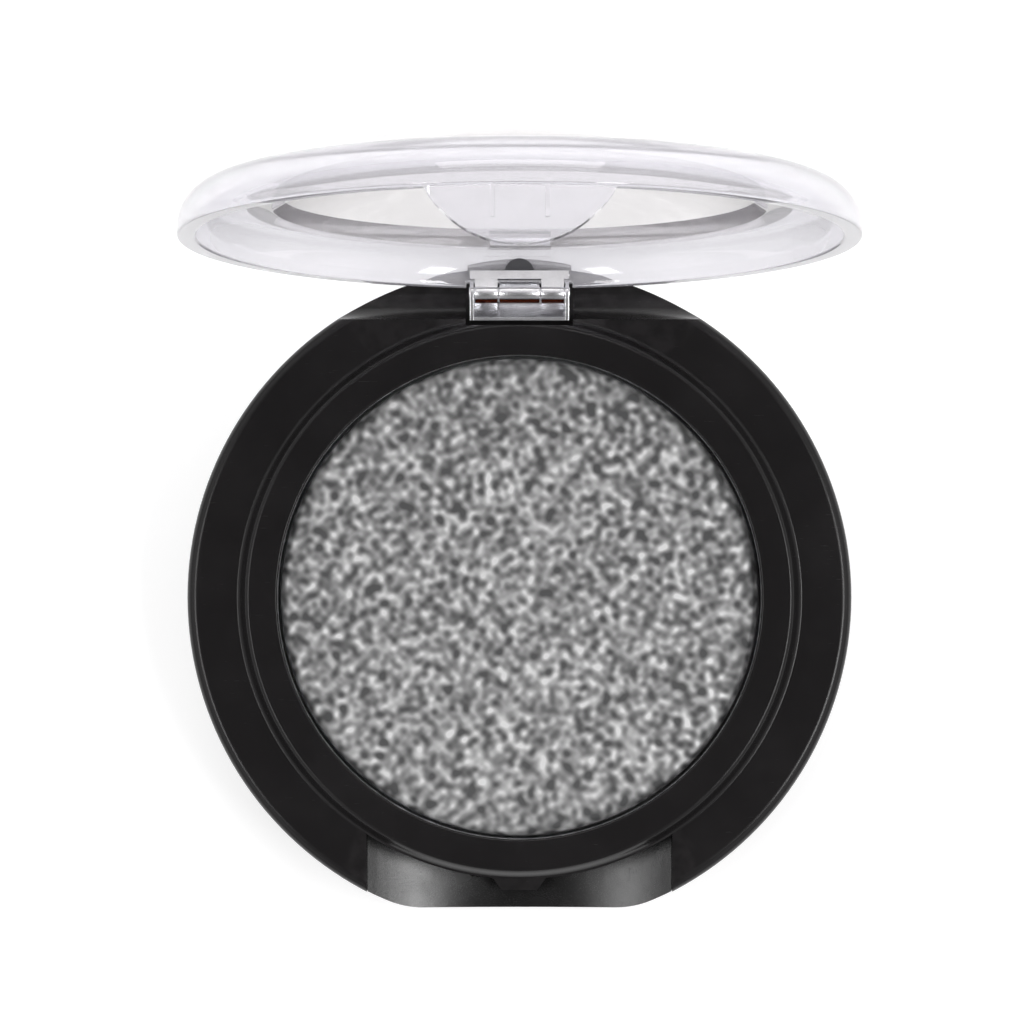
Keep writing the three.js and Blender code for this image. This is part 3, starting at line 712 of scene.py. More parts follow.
def catch_nose(at, sizes, low):
    """The nose in the notch that the lid's hook closes under."""
    root = at.skirt_outer - SINK
    plan = [
        (-sizes.nose_root_half, -root), (-sizes.nose_tip_half, -at.nose_tip),
        (sizes.nose_tip_half, -at.nose_tip), (sizes.nose_root_half, -root),
    ]
    side = [
        (-root, low), (-at.nose_tip, low), (-at.nose_tip, low + sizes.nose_tip),
        (-at.skirt_outer, low + sizes.nose_height), (-root, low + sizes.nose_height),
    ]
    body = pushed(plan, "Z", low, low + sizes.nose_height)
    return inside(body, pushed(side, "X", -sizes.nose_root_half, sizes.nose_root_half))


def make_deck(sizes, lid_sizes, finish):
    """The upper moulding with its notch, catch nose, trough and hinge pocket."""
    at = base_places(sizes)
    leaf_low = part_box("hinge_base_leaf")[0]
    half = sizes.notch_half_width
    cheek = half + sizes.notch_cheek
    fill_front = at.trough_front - sizes.trough_wall
    notch = block((-half, half), (-at.radius - PAST, 0), (-SINK, TALL))
    cut(notch, disc(at.skirt_outer, -PAST, TALL + PAST))
    sides = (-sizes.pocket_half_width, sizes.pocket_half_width)
    pedestal = block(sides, (at.skirt_inner + SINK, AXIS.y), (sizes.parting_height, leaf_low.z))
    pocket_start = leaf_low.y - sizes.pocket_gap
    pocket = block(sides, (pocket_start, at.radius + SINK), (leaf_low.z, TALL))
    hook_top = closed_box("lid_rim")[0].z + lid_sizes.hook_height
    body = joined(
        deck_ring(at, sizes),
        deck_fill(at, sizes, (-cheek, cheek), (-at.radius, 0)),
        deck_fill(at, sizes, (-at.radius, at.radius), (fill_front, at.radius)),
    )
    cut(body, notch, trough_cut(at, sizes))
    joined(body, pedestal)
    cut(body, pocket)
    joined(body, catch_nose(at, sizes, hook_top + lid_sizes.hook_play))
    rounded(body, sizes.edge_break, lambda place: place.xy.length > at.step_foot - STEP_SEAM
            or abs(place.x) < sizes.pocket_half_width + POCKET_SEAM)
    return finished(body, "deck", "base", gloss_deck(finish), "base_deck")


# ---- Pan, powder, glue and label ----


def make_pan(sizes, finish):
    """The pressed pan with its rounded foot and rim."""
    low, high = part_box("pan")
    corner = sizes.pan_corner
    inner = high.x - sizes.pan_wall
    lip = sizes.pan_wall / NEARLY_HALF
    body = turned(outline(
        (0, low.z), (high.x, low.z, corner), (high.x, high.z, lip), (inner, high.z, lip),
        (inner, low.z + sizes.pan_wall), (0, low.z + sizes.pan_wall),
    ))
    return finished(body, "powder_pan", "base", pressed_aluminium(finish), "pan")


def make_glue(finish):
    """The disc of glue, squeezed to a rounded edge that isn't quite round."""
    low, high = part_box("pan_glue")
    bulge = (high.z - low.z) / 3
    edge = [(high.x - bulge, low.z), (high.x, (low.z + high.z) / 2, bulge),
            (high.x - bulge, high.z)]
    body = turned(outline((0, low.z), *edge, (0, high.z)))
    for vertex in body.data.vertices:
        angle = math.atan2(vertex.co.y, vertex.co.x)
        slow, quick = (count * angle for count in GLUE_WAVES)
        vertex.co.xy *= 1 - GLUE_WAVE * (1 + math.sin(slow + 1) * math.cos(quick)) / 2
    return finished(body, "glue_disc", "base", dried_glue(finish), "pan_glue")


def make_label(finish):
    """The thin label with its rounded face."""
    low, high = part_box("base_label")
    body = turned(outline(
        (0, low.z), (high.x, low.z, high.z / 3), (high.x, high.z), (0, high.z),
    ))
    return finished(body, "label", "base", printed_label(finish), "base_label")


def powder_blank(sizes):
    """A closed cake of powder: an even grid bent into a disc, crowned, with a wall and a floor."""
    low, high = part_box("powder")
    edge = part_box("pan")[1].z - sizes.edge_drop
    crown = high.z - edge
    outer = high.x - sizes.edge_gap
    count = sizes.grid
    shape = bmesh.new()
    grid = []
    for row in range(count + 1):
        line = []
        for column in range(count + 1):
            a = 2 * column / count - 1
            b = 2 * row / count - 1
            if a == 0 and b == 0:
                radius, turn = 0, 0
            elif abs(a) > abs(b):
                radius, turn = a, math.pi / 4 * b / a
            else:
                radius, turn = b, math.pi / 2 - math.pi / 4 * a / b
            rise = crown * math.sqrt(1 - radius * radius)
            inward = outer * (1 - abs(radius))
            fall = sizes.shoulder_drop * max(0, 1 - inward / sizes.shoulder) ** 2
            across = outer * radius
            place = (across * math.cos(turn), across * math.sin(turn), edge + rise - fall)
            line.append(shape.verts.new(place))
        grid.append(line)
    for row in range(count):
        for column in range(count):
            shape.faces.new((
                grid[row][column], grid[row][column + 1],
                grid[row + 1][column + 1], grid[row + 1][column],
            ))
    rim = grid[0][:-1] + [line[-1] for line in grid[:-1]]
    rim += list(reversed(grid[-1][1:])) + [line[0] for line in reversed(grid[1:])]
    foot = [shape.verts.new((v.co.x, v.co.y, low.z)) for v in rim]
    for i, vertex in enumerate(rim):
        j = (i + 1) % len(rim)
        shape.faces.new((vertex, foot[i], foot[j], rim[j]))
    shape.faces.new(foot)
    return solid(shape)


def grain_tree():
    """Geometry nodes that press grains into the top of the powder."""
    tree = bpy.data.node_groups.new("powder_grain", "GeometryNodeTree")
    sockets = {"Geometry": "Geometry", "Grain Size": "Float", "Grain Height": "Float",
               "Seed": "Float", "Floor": "Float", "Wall": "Float", "Finish": "Material"}
    for name, kind in sockets.items():
        tree.interface.new_socket(name, in_out="INPUT", socket_type=f"NodeSocket{kind}")
    tree.interface.new_socket("Geometry", in_out="OUTPUT", socket_type="NodeSocketGeometry")
    given = add(tree, "NodeGroupInput").outputs
    place = add(tree, "GeometryNodeInputPosition").outputs[0]
    axes = add(tree, "ShaderNodeSeparateXYZ", {0: place}).outputs
    flat = add(tree, "ShaderNodeCombineXYZ", {0: axes[0], 1: axes[1]}).outputs[0]
    reach = add(tree, "ShaderNodeVectorMath", {0: flat}, operation="LENGTH").outputs["Value"]
    scale = maths(tree, "DIVIDE", 1, given["Grain Size"])
    grains = add(
        tree, "ShaderNodeTexNoise",
        {"Vector": place, "W": given["Seed"], "Scale": scale, "Detail": 1.5, "Roughness": 0.45},
        noise_dimensions="4D",
    ).outputs[0]
    lift = maths(tree, "MULTIPLY", maths(tree, "SUBTRACT", grains, 0.5), given["Grain Height"])
    lift = maths(tree, "MULTIPLY", lift, 2)
    room = maths(tree, "SUBTRACT", given["Wall"], reach)
    fade = ranged(tree, room, low=0, high=mm(0.5))
    offset = add(tree, "ShaderNodeCombineXYZ", {2: maths(tree, "MULTIPLY", lift, fade)}).outputs[0]
    on_top = maths(tree, "GREATER_THAN", axes[2], given["Floor"])
    moved = add(
        tree, "GeometryNodeSetPosition",
        {"Geometry": given["Geometry"], "Selection": on_top, "Offset": offset},
    ).outputs[0]
    real = add(tree, "GeometryNodeRealizeInstances", {0: moved}).outputs[0]
    shown = add(
        tree, "GeometryNodeSetMaterial", {"Geometry": real, "Material": given["Finish"]}
    ).outputs[0]
    add(tree, "NodeGroupOutput", {0: shown})
    return tree


def grown(blank, tree, values):
    """The plain mesh that a geometry nodes tree makes of a blank."""
    modifier = blank.modifiers.new(tree.name, "NODES")
    modifier.node_group = tree
    sockets = {item.name: item.identifier for item in tree.interface.items_tree
               if item.in_out == "INPUT"}
    for name, value in values.items():
        modifier[sockets[name]] = value
    return settled(blank)


def make_powder(sizes, finish):
    """The pressed powder with its grains."""
    low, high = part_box("powder")
    material = shimmer_powder(finish, sizes)
    body = grown(powder_blank(sizes), grain_tree(), {
        "Grain Size": sizes.grain_size,
        "Grain Height": sizes.grain_height,
        "Seed": float(sizes.seed),
        "Floor": low.z + sizes.pan_wall,
        "Wall": high.x,
        "Finish": material,
    })
    return finished(body, "pressed_powder", "base", material, "powder")


# ---- Hinge ----


def make_base_leaf(sizes, finish):
    """The base leaf: a floor that curves up to a lip, two cheeks and the middle knuckle."""
    at = hinge_places(sizes)
    bend = AXIS.y - sizes.leaf_flat
    inner_lip = at.leaf_front + sizes.leaf_lip
    sweep = arc((bend, at.lip_top), (bend - inner_lip, at.lip_top - at.leaf_floor), 270, 180)
    floor = outline(
        (at.leaf_front, at.leaf_bottom), (AXIS.y, at.leaf_bottom), (AXIS.y, at.leaf_floor), sweep,
        (at.leaf_front, at.lip_top),
    )
    cheek = outline(
        (at.leaf_front, at.leaf_bottom), (AXIS.y, at.leaf_bottom),
        arc((AXIS.y, AXIS.z), (at.knuckle, at.knuckle), CHEEK_FOOT, 90), (at.leaf_front, at.lip_top),
    )
    middle = (-sizes.centre_half, sizes.centre_half)
    body = joined(
        pushed(floor, "X", -at.cheek_end, at.cheek_end),
        pushed(cheek, "X", at.cheek_start, at.cheek_end),
        pushed(cheek, "X", -at.cheek_end, -at.cheek_start),
        block(middle, (AXIS.y - at.knuckle, AXIS.y), (at.leaf_bottom, AXIS.z)),
        rod(at.knuckle, *middle),
    )
    cut(body, rod(at.bore, -at.pin_end, at.pin_end))
    rounded(body, sizes.edge_break)
    return finished(body, "base_leaf", "base", polished_steel(finish),
                    "hinge_base_leaf")


def make_lid_leaf(sizes, finish):
    """The lid leaf: two knuckles, each with a web up to one flange."""
    at = hinge_places(sizes)
    web_top = (at.swing + at.flange_top) / 2
    body = block((-at.cheek_end, at.cheek_end), at.flange, (at.swing, at.flange_top))
    for low, high in ((at.knuckle_start, at.knuckle_end), (-at.knuckle_end, -at.knuckle_start)):
        joined(body, rod(at.knuckle, low, high), block((low, high), at.flange, (AXIS.z, web_top)))
    cut(body, rod(at.bore, -at.pin_end, at.pin_end))
    rounded(body, sizes.edge_break)
    lid_opened(body)
    return finished(body, "lid_leaf", "lid", polished_steel(finish),
                    "hinge_lid_leaf")


def make_pin(sizes, finish):
    """The hinge pin with its broken edges."""
    at = hinge_places(sizes)
    body = rounded(rod(at.pin_radius, -at.pin_end, at.pin_end), sizes.edge_break)
    return finished(body, "steel_pin", "base", polished_steel(finish), "hinge_pin")


def make_pad(sizes, finish):
    """The soft pad behind the lid leaf, with a round tongue past the flange."""
    low, high = closed_box("hinge_pad")
    straight = low.z + sizes.pad_height
    tongue = sizes.pad_tongue
    bump = arc((0, high.z - tongue), (tongue, tongue), 0, 180)
    body = pushed([(-high.x, low.z), (high.x, low.z), (high.x, straight), (-high.x, straight)],
                  "Y", low.y, high.y)
    joined(body, pushed(outline((-tongue, low.z), (tongue, low.z), bump), "Y", low.y, high.y))
    rounded(body, sizes.edge_break)
    lid_opened(body)
    return finished(body, "soft_pad", "lid", soft_pad(finish), "hinge_pad")


# ---- Lid ----


def lid_ring(at, sizes):
    """The rim's round wall, up to the seat of the dome."""
    top = at.rim + sizes.straight + sizes.shoulder
    ceiling = top - sizes.wall
    seat = at.dome_radius + sizes.dome_gap
    inner = sizes.shoulder - sizes.wall
    turn_height = at.rim + sizes.straight
    outer_arc = arc((at.shoulder_centre, turn_height), (sizes.shoulder, sizes.shoulder), 0, 90)
    inner_arc = arc((at.shoulder_centre, turn_height), (inner, inner), 90, 0)
    seat_start = math.degrees(math.asin((top - at.dome_centre) / seat))
    seat_end = math.degrees(math.asin((ceiling - at.dome_centre) / seat))
    seat_arc = arc((0, at.dome_centre), (seat, seat), seat_start, seat_end, ROUND_STEPS)
    return turned(outline(
        (at.radius - sizes.wall, at.rim, sizes.rim_round), (at.radius, at.rim, sizes.rim_round),
        outer_arc, seat_arc, inner_arc,
    ))


def thumb_tab(at, sizes):
    """The round-ended flap below the rim's front, with its two ribs and its hook."""
    top = at.rim + sizes.straight / 2
    half = sizes.tab_half_width
    depth = at.rim - at.tab_bottom
    side_handle = (TAB_SIDE[0] * half, at.rim - TAB_SIDE[1] * depth)
    end_handle = (TAB_END * half, at.tab_bottom)
    right = curve((0, at.tab_bottom), end_handle, side_handle, (half, at.rim))
    left = [(-x, z) for x, z in reversed(right[1:])]
    flap = pushed(outline(left, right, (half, top), (-half, top)), "Y", -at.radius, 0)
    tip = at.nose_tip - sizes.hook_bite
    root = at.tab_inner + SINK
    wedge_foot = tip + sizes.hook_height
    hook = [
        (-root, at.hook_top), (-tip, at.hook_top), (-tip, at.hook_top - HOOK_TIP),
        (-wedge_foot, at.tab_bottom), (-root, at.tab_bottom),
    ]
    body = ring(at.tab_inner, at.tab_outer, at.tab_bottom - SINK, top)
    inside(body, flap)
    joined(body, pushed(hook, "X", -sizes.hook_half_width, sizes.hook_half_width))
    for side in (-1, 1):
        middle = side * sizes.tab_rib_spacing / 2
        width = (middle - sizes.tab_rib_width / 2, middle + sizes.tab_rib_width / 2)
        reach = (-at.tab_inner - SINK, sizes.tab_rib_reach - at.tab_inner)
        joined(body, block(width, reach, (at.rim - sizes.tab_rib_length, top)))
    return body


def make_lid_rim(sizes, base_sizes, hinge_sizes, finish):
    """The clear rim with its thumb tab, its lug and the seats of the hinge."""
    at = lid_places(sizes, base_sizes)
    metal = hinge_places(hinge_sizes)
    pad_high = closed_box("hinge_pad")[1]
    lug_front = pad_high.y + sizes.lug_gap
    lug = block(
        (-sizes.lug_half_width, sizes.lug_half_width), (lug_front, lug_front + sizes.lug_depth),
        (metal.swing, metal.swing + sizes.lug_height),
    )
    front = AXIS.y - base_sizes.trough_reach
    notch = block(
        (-sizes.notch_half_width, sizes.notch_half_width), (front, at.radius + PAST),
        (at.rim - PAST, AXIS.z + metal.knuckle + sizes.notch_gap),
    )
    gap = sizes.pad_seat_gap
    seat = block(
        (-pad_high.x - gap, pad_high.x + gap), (front, lug_front), (metal.swing, pad_high.z + gap)
    )
    body = joined(lid_ring(at, sizes), lug)
    cut(body, notch, seat)
    joined(body, thumb_tab(at, sizes))
    rounded(body, sizes.edge_break)
    lid_opened(body)
    material = clear_plastic("milky_rim", finish.rim, finish.rim_clear)
    return finished(body, "clear_rim", "lid", material, "lid_rim")


def make_dome(sizes, base_sizes, finish):
    """The clear domed window."""
    at = lid_places(sizes, base_sizes)
    inner = at.dome_radius - sizes.dome_thickness
    angles = [
        math.degrees(math.asin((at.dome_foot - at.dome_centre) / r)) for r in (at.dome_radius, inner)
    ]
    outer_arc = arc((0, at.dome_centre), (at.dome_radius,) * 2, 90, angles[0], 2 * CURVE_STEPS)
    inner_arc = arc((0, at.dome_centre), (inner,) * 2, angles[1], 90, 2 * CURVE_STEPS)
    corner = sizes.rim_round / 2
    body = turned(outline(
        outer_arc[:-1], (*outer_arc[-1], corner), (*inner_arc[0], corner), inner_arc[1:],
    ))
    lid_opened(body)
    material = clear_plastic("clear_dome", finish.dome, finish.dome_clear)
    return finished(body, "clear_dome", "lid", material, "lid_dome")


# ---- Nodes ----


def add(tree, kind, inputs=None, **settings):
    """A node with its settings. An input takes a value or another node's output."""
    made = tree.nodes.new(kind)
    for name, value in settings.items():
        setattr(made, name, value)
    for name, value in (inputs or {}).items():
        if isinstance(value, bpy.types.NodeSocket):
            tree.links.new(value, made.inputs[name])
        else:
            made.inputs[name].default_value = value
    return made


def maths(tree, operation, first, second=0):
    return add(tree, "ShaderNodeMath", {0: first, 1: second}, operation=operation).outputs[0]


def raised(tree, value, mask, most):
    """A value that a mask raises, by the most where the mask is full."""
    return maths(tree, "ADD", value, maths(tree, "MULTIPLY", mask, most))


def ranged(tree, value, low, high, to_low=0, to_high=1):
    """A value brought from one range to another, without going past its ends."""
    return add(tree, "ShaderNodeMapRange", {
        "Value": value, "From Min": low, "From Max": high, "To Min": to_low, "To Max": to_high,
    }).outputs[0]


def mixed(tree, factor, first, second):
    """Two colours mixed by a factor."""
    return add(
        tree, "ShaderNodeMix", {0: factor, 6: first, 7: second}, data_type="RGBA"
    ).outputs[2]


def noise(tree, vector, scale, detail=2, rough=0.5):
    return add(
        tree, "ShaderNodeTexNoise",
        {"Vector": vector, "Scale": scale, "Detail": detail, "Roughness": rough},
    ).outputs[0]


def effect(name, inputs, outputs):
    """An empty shader node group with named inputs and outputs."""
    tree = bpy.data.node_groups.new(name, "ShaderNodeTree")
    for socket, default in inputs.items():
        made = tree.interface.new_socket(socket, in_out="INPUT", socket_type="NodeSocketFloat")
        made.default_value = default
    for socket in outputs:
        tree.interface.new_socket(socket, in_out="OUTPUT", socket_type="NodeSocketFloat")
    return tree, add(tree, "NodeGroupInput").outputs, add(tree, "NodeGroupOutput").inputs


def place_of(tree):
    return add(tree, "ShaderNodeTexCoord").outputs["Object"]


def stretched(tree, place, turn=(0, 0, 0), scale=(1, 1, 1)):
    """A place turned and scaled, so that a pattern on it lies another way."""
    return add(
        tree, "ShaderNodeMapping", {"Vector": place, "Rotation": turn, "Scale": scale}
    ).outputs[0]


def from_centre(tree, place):
    """How far a place is from the compact's upright middle line."""
    flat = add(tree, "ShaderNodeVectorMath", {0: place, 1: (1, 1, 0)}, operation="MULTIPLY")
    return add(
        tree, "ShaderNodeVectorMath", {0: flat.outputs[0]}, operation="LENGTH"
    ).outputs["Value"]


def toned(given, by):
    """A colour made lighter or darker."""
    return [min(1, by * channel) for channel in given[:3]] + [1]


def moulded_grain():
    """Fine spark-eroded grain of a plastic moulding: its height and its bright specks."""
    tree, given, out = effect("moulded_grain", {"Grain Size": mm(0.1)}, ("Height", "Speck"))
    scale = maths(tree, "DIVIDE", 1, given["Grain Size"])
    place = place_of(tree)
    coarse = noise(tree, place, scale, detail=2, rough=0.6)
    fine = noise(tree, place, maths(tree, "MULTIPLY", scale, 2.7), detail=1)
    coarse_share, fine_share = 0.65, 0.35
    height = raised(tree, maths(tree, "MULTIPLY", coarse, coarse_share), fine, fine_share)
    tree.links.new(height, out["Height"])
    tree.links.new(ranged(tree, fine, low=0.55, high=0.75), out["Speck"])
    return tree


def handling_marks():
    """Faint smudges and hairlines of handling, as masks."""
    tree, given, out = effect("handling_marks", {"Smudge Size": mm(6)}, ("Smudge", "Hairline"))
    place = place_of(tree)
    scale = maths(tree, "DIVIDE", 1, given["Smudge Size"])
    soft = noise(tree, place, scale, detail=3, rough=0.6)
    tree.links.new(ranged(tree, soft, low=0.42, high=0.68), out["Smudge"])
    slanted = stretched(tree, place, turn=(0, 0, math.radians(37)), scale=(1, 14, 1))
    lines = noise(tree, slanted, maths(tree, "MULTIPLY", scale, 4), detail=3, rough=0.7)
    tree.links.new(ranged(tree, lines, low=0.66, high=0.72), out["Hairline"])
    return tree


def edge_wear():
    """A mask of the edges that hands polish."""
    tree, given, out = effect("edge_wear", {"Sharpness": 0.53}, ("Wear",))
    point = add(tree, "ShaderNodeNewGeometry").outputs["Pointiness"]
    sharpest = maths(tree, "ADD", given["Sharpness"], 0.06)
    edge = ranged(tree, point, given["Sharpness"], sharpest)
    patchy = ranged(tree, noise(tree, place_of(tree), scale=900), low=0.35, high=0.6)
    tree.links.new(maths(tree, "MULTIPLY", edge, patchy), out["Wear"])
    return tree


def placed(tree, build, **values):
    """One of the shared effects, built once, in a material with its own values."""
    group = bpy.data.node_groups.get(build.__name__) or build()
    made = add(tree, "ShaderNodeGroup", node_tree=group)
    for socket, value in values.items():
        made.inputs[socket.replace("_", " ").title()].default_value = value
    return made.outputs


def new_material(name):
    """A material without nodes, and its tree."""
    material = bpy.data.materials.new(name)
    material.use_nodes = True
    material.node_tree.nodes.clear()
    return material, material.node_tree


def principled(tree, inputs):
    """The material's shader with its inputs."""
    shader = add(tree, "ShaderNodeBsdfPrincipled", inputs)
    add(tree, "ShaderNodeOutputMaterial", {"Surface": shader.outputs[0]})


def bump(tree, height, distance):
    """Relief of a real depth."""
    return add(
        tree, "ShaderNodeBump", {"Height": height, "Distance": distance, "Strength": 1}
    ).outputs[0]


# ---- Finishes ----


def satin_tray(finish):
    """Satin black moulded plastic with a fine grain."""
    material, tree = new_material("satin_tray")
    grain = placed(tree, moulded_grain, grain_size=mm(0.13))
    marks = placed(tree, handling_marks, smudge_size=mm(5))
    wear = placed(tree, edge_wear)["Wear"]
    worn = toned(finish.tray, by=1.9)
    speckled = mixed(tree, grain["Speck"], finish.tray, worn)
    rough = raised(tree, finish.tray_rough, marks["Smudge"], most=0.06)
    principled(tree, {
        "Base Color": mixed(tree, wear, speckled, worn),
        "Roughness": raised(tree, rough, grain["Speck"], most=0.06),
        "IOR": 1.5,
        "Normal": bump(tree, grain["Height"], mm(0.007)),
    })
    return material


def gloss_deck(finish):
    """Smooth black moulded plastic, with faint smudges in its gloss."""
    material, tree = new_material("gloss_deck")
    grain = placed(tree, moulded_grain, grain_size=mm(0.22))
    marks = placed(tree, handling_marks, smudge_size=mm(7))
    wear = placed(tree, edge_wear)["Wear"]
    worn = toned(finish.deck, by=1.6)
    hazed = mixed(tree, maths(tree, "MULTIPLY", marks["Smudge"], 0.3), finish.deck, worn)
    rough = raised(tree, finish.deck_rough, marks["Smudge"], most=0.05)
    principled(tree, {
        "Base Color": mixed(tree, wear, hazed, worn),
        "Roughness": raised(tree, rough, marks["Hairline"], most=0.05),
        "IOR": 1.33,
        "Normal": bump(tree, grain["Height"], mm(0.001)),
    })
    return material


def shimmer_powder(finish, sizes):
    """Pressed grey shimmer: light flakes in a darker binder, with painted shade darkening it towards
    the edge.
    """
    material, tree = new_material("shimmer_powder")
    place = place_of(tree)
    flakes = 1 / sizes.grain_size
    tipped = stretched(tree, place, turn=(0.6, 0.4, 0.9))
    turned_on = stretched(tree, place, turn=(1.1, -0.7, 2.2))
    first = noise(tree, tipped, flakes, detail=0)
    second = noise(tree, turned_on, 1.15 * flakes, detail=0)
    pattern = maths(tree, "MULTIPLY", maths(tree, "ADD", first, second), 0.5)
    fine = noise(tree, place, 3 * flakes, detail=1)
    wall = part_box("powder")[1].x
    # Painted shade: the powder's colour is darkened towards its edge, where the deck's lip shades it.
    edge = ranged(tree, from_centre(tree, place), 0.4 * wall, wall, to_low=0, to_high=0.035)
    light = ranged(tree, maths(tree, "SUBTRACT", pattern, edge), low=0.3, high=0.7)
    shade = add(tree, "ShaderNodeValToRGB", {0: light})
    low, high = finish.powder_dark, finish.powder_light
    shade.color_ramp.elements[0].color = low
    shade.color_ramp.elements[1].color = high
    for at, part in ((0.25, 0.12), (0.5, 0.3), (0.75, 0.58)):
        stop = shade.color_ramp.elements.new(at)
        stop.color = [a + (b - a) * part for a, b in zip(low, high)]
    glint = ranged(tree, pattern, low=0.56, high=0.66)
    principled(tree, {
        "Base Color": shade.outputs[0],
        "Roughness": ranged(tree, glint, 0, 1, to_low=0.72, to_high=0.45),
        "Metallic": maths(tree, "MULTIPLY", glint, 0.35),
        "Normal": bump(tree, fine, mm(0.01)),
    })
    return material


def pressed_aluminium(finish):
    """Drawn aluminium with fine lines around the pan."""
    material, tree = new_material("pressed_aluminium")
    place = place_of(tree)
    lines = add(
        tree, "ShaderNodeTexWave",
        {"Vector": place, "Scale": 900, "Distortion": 1.5, "Detail": 2},
        wave_type="RINGS", rings_direction="Z",
    ).outputs[1]
    marks = placed(tree, handling_marks, smudge_size=mm(4))
    dull = toned(finish.aluminium, by=0.8)
    principled(tree, {
        "Base Color": mixed(tree, marks["Smudge"], finish.aluminium, dull),
        "Metallic": 1.0,
        "Roughness": ranged(tree, lines, 0, 1, to_low=0.28, to_high=0.42),
        "Normal": bump(tree, lines, mm(0.004)),
    })
    return material


def polished_steel(finish):
    """Polished steel with a faint grain along the hinge and painted shade in a dark band along the
    knuckles.

    The three metal pieces share it.
    """
    material = bpy.data.materials.get("polished_steel")
    if material:
        return material
    material, tree = new_material("polished_steel")
    place = place_of(tree)
    brushed = stretched(tree, place, scale=(1, 12, 12))
    grain = noise(tree, brushed, 400, detail=3, rough=0.6)
    marks = placed(tree, handling_marks, smudge_size=mm(2))
    axes = add(tree, "ShaderNodeSeparateXYZ", {0: place}).outputs
    # Painted shade: a dark red-brown band on the knuckles' front, where the gap between the knuckles
    # and the base leaf's floor lies in shade.
    shade_band_middle = AXIS.y - mm(0.66)
    leaf_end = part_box("hinge_base_leaf")[1].x
    off_line = maths(tree, "ABSOLUTE", maths(tree, "SUBTRACT", axes[1], shade_band_middle))
    line = ranged(tree, off_line, mm(0.13), mm(0.17), to_low=1, to_high=0)
    between = ranged(tree, maths(tree, "ABSOLUTE", axes[0]), leaf_end - mm(0.3),
                     leaf_end - mm(0.25), to_low=1, to_high=0)
    on_top = ranged(tree, axes[2], AXIS.z, AXIS.z + mm(0.1))
    painted_shade_band = maths(tree, "MULTIPLY", maths(tree, "MULTIPLY", line, between), on_top)
    dull = toned(finish.steel, by=0.86)
    clean = mixed(tree, marks["Smudge"], finish.steel, dull)
    principled(tree, {
        "Base Color": mixed(tree, painted_shade_band, clean, finish.steel_line),
        "Metallic": 1.0,
        "Roughness": ranged(tree, grain, 0.3, 0.7, to_low=0.22, to_high=0.27),
        "Normal": bump(tree, grain, mm(0.00005)),
    })
    return material


def soft_pad(finish):
    """Soft matt dark rubber."""
    material, tree = new_material("soft_pad")
    grain = placed(tree, moulded_grain, grain_size=mm(0.09))
    lifted = toned(finish.pad, by=1.4)
    principled(tree, {
        "Base Color": mixed(tree, grain["Speck"], finish.pad, lifted),
        "Roughness": ranged(tree, grain["Height"], 0.3, 0.7, to_low=0.5, to_high=0.7),
        "Normal": bump(tree, grain["Height"], mm(0.01)),
    })
    return material


def clear_plastic(name, tint, clearness):
    """Polished plastic that lets light through, with a tint and the lightest smudges."""
    material, tree = new_material(name)
    marks = placed(tree, handling_marks, smudge_size=mm(8))
    hazed = toned(tint, by=0.985)
    principled(tree, {
        "Base Color": mixed(tree, marks["Smudge"], tint, hazed),
        "Roughness": ranged(tree, marks["Smudge"], 0, 1, to_low=0.03, to_high=0.06),
        "IOR": 1.49,
        "Transmission Weight": clearness,
    })
    return material


def dried_glue(finish):
    """Cream glue, a little glossy and uneven."""
    material, tree = new_material("dried_glue")
    lumps = noise(tree, place_of(tree), 700, detail=3)
    darker = toned(finish.glue, by=0.8)
    principled(tree, {
        "Base Color": mixed(tree, lumps, finish.glue, darker),
        "Roughness": ranged(tree, lumps, 0.3, 0.7, to_low=0.4, to_high=0.6),
        "Normal": bump(tree, lumps, mm(0.05)),
    })
    return material


def printed_label(finish):
    """White paper with plain printed rings and no lettering."""
    material, tree = new_material("printed_label")
    place = place_of(tree)
    fibres = noise(tree, place, 5000, detail=4, rough=0.6)
    reach = from_centre(tree, place)
    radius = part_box("base_label")[1].x
    ink = 0
    for part, half_width in ((0.93, mm(0.18)), (0.88, mm(0.06))):
        off = maths(tree, "ABSOLUTE", maths(tree, "SUBTRACT", reach, part * radius))
        line = ranged(tree, off, half_width, half_width + mm(0.04), to_low=1, to_high=0)
        ink = maths(tree, "MAXIMUM", ink, line)
    darker = toned(finish.paper, by=0.93)
    paper = mixed(tree, fibres, finish.paper, darker)
    principled(tree, {
        "Base Color": mixed(tree, ink, paper, finish.label_ink),
        "Roughness": ranged(tree, ink, 0, 1, to_low=0.75, to_high=0.5),
        "Normal": bump(tree, fibres, mm(0.006)),
    })
    return material


# ---- Studio ----

SOFTBOXES = {  # each one's place, its two sides and its watts
    "right_softbox": ((0.49, -0.1, 0.87), (0.5, 0.16), 3.7),
    "left_softbox": ((-0.49, -0.1, 0.87), (0.5, 0.16), 2.05),
    "rear_softbox": ((0, 0.7, 0.75), (0.9, 0.3), 3),
}


def pale_floor(studio):
    """A pale floor that is lit a little from below, so that shadows on it stay faint."""
    material, tree = new_material("pale_floor")
    cloudy = noise(tree, place_of(tree), 3)
    dim = toned(studio.floor, by=0.985)
    principled(tree, {
        "Base Color": mixed(tree, cloudy, studio.floor, dim),
        "Roughness": 0.9,
        "Emission Color": (1, 1, 1, 1),
        "Emission Strength": studio.floor_glow,
    })
    return material


def make_floor(studio):
    half = studio.floor_size / 2
    mesh = bpy.data.meshes.new("floor")
    corners = [(-half, -half, 0), (half, -half, 0), (half, half, 0), (-half, half, 0)]
    mesh.from_pydata(corners, [], [(0, 1, 2, 3)])
    mesh.materials.append(pale_floor(studio))
    set_out("floor", mesh)


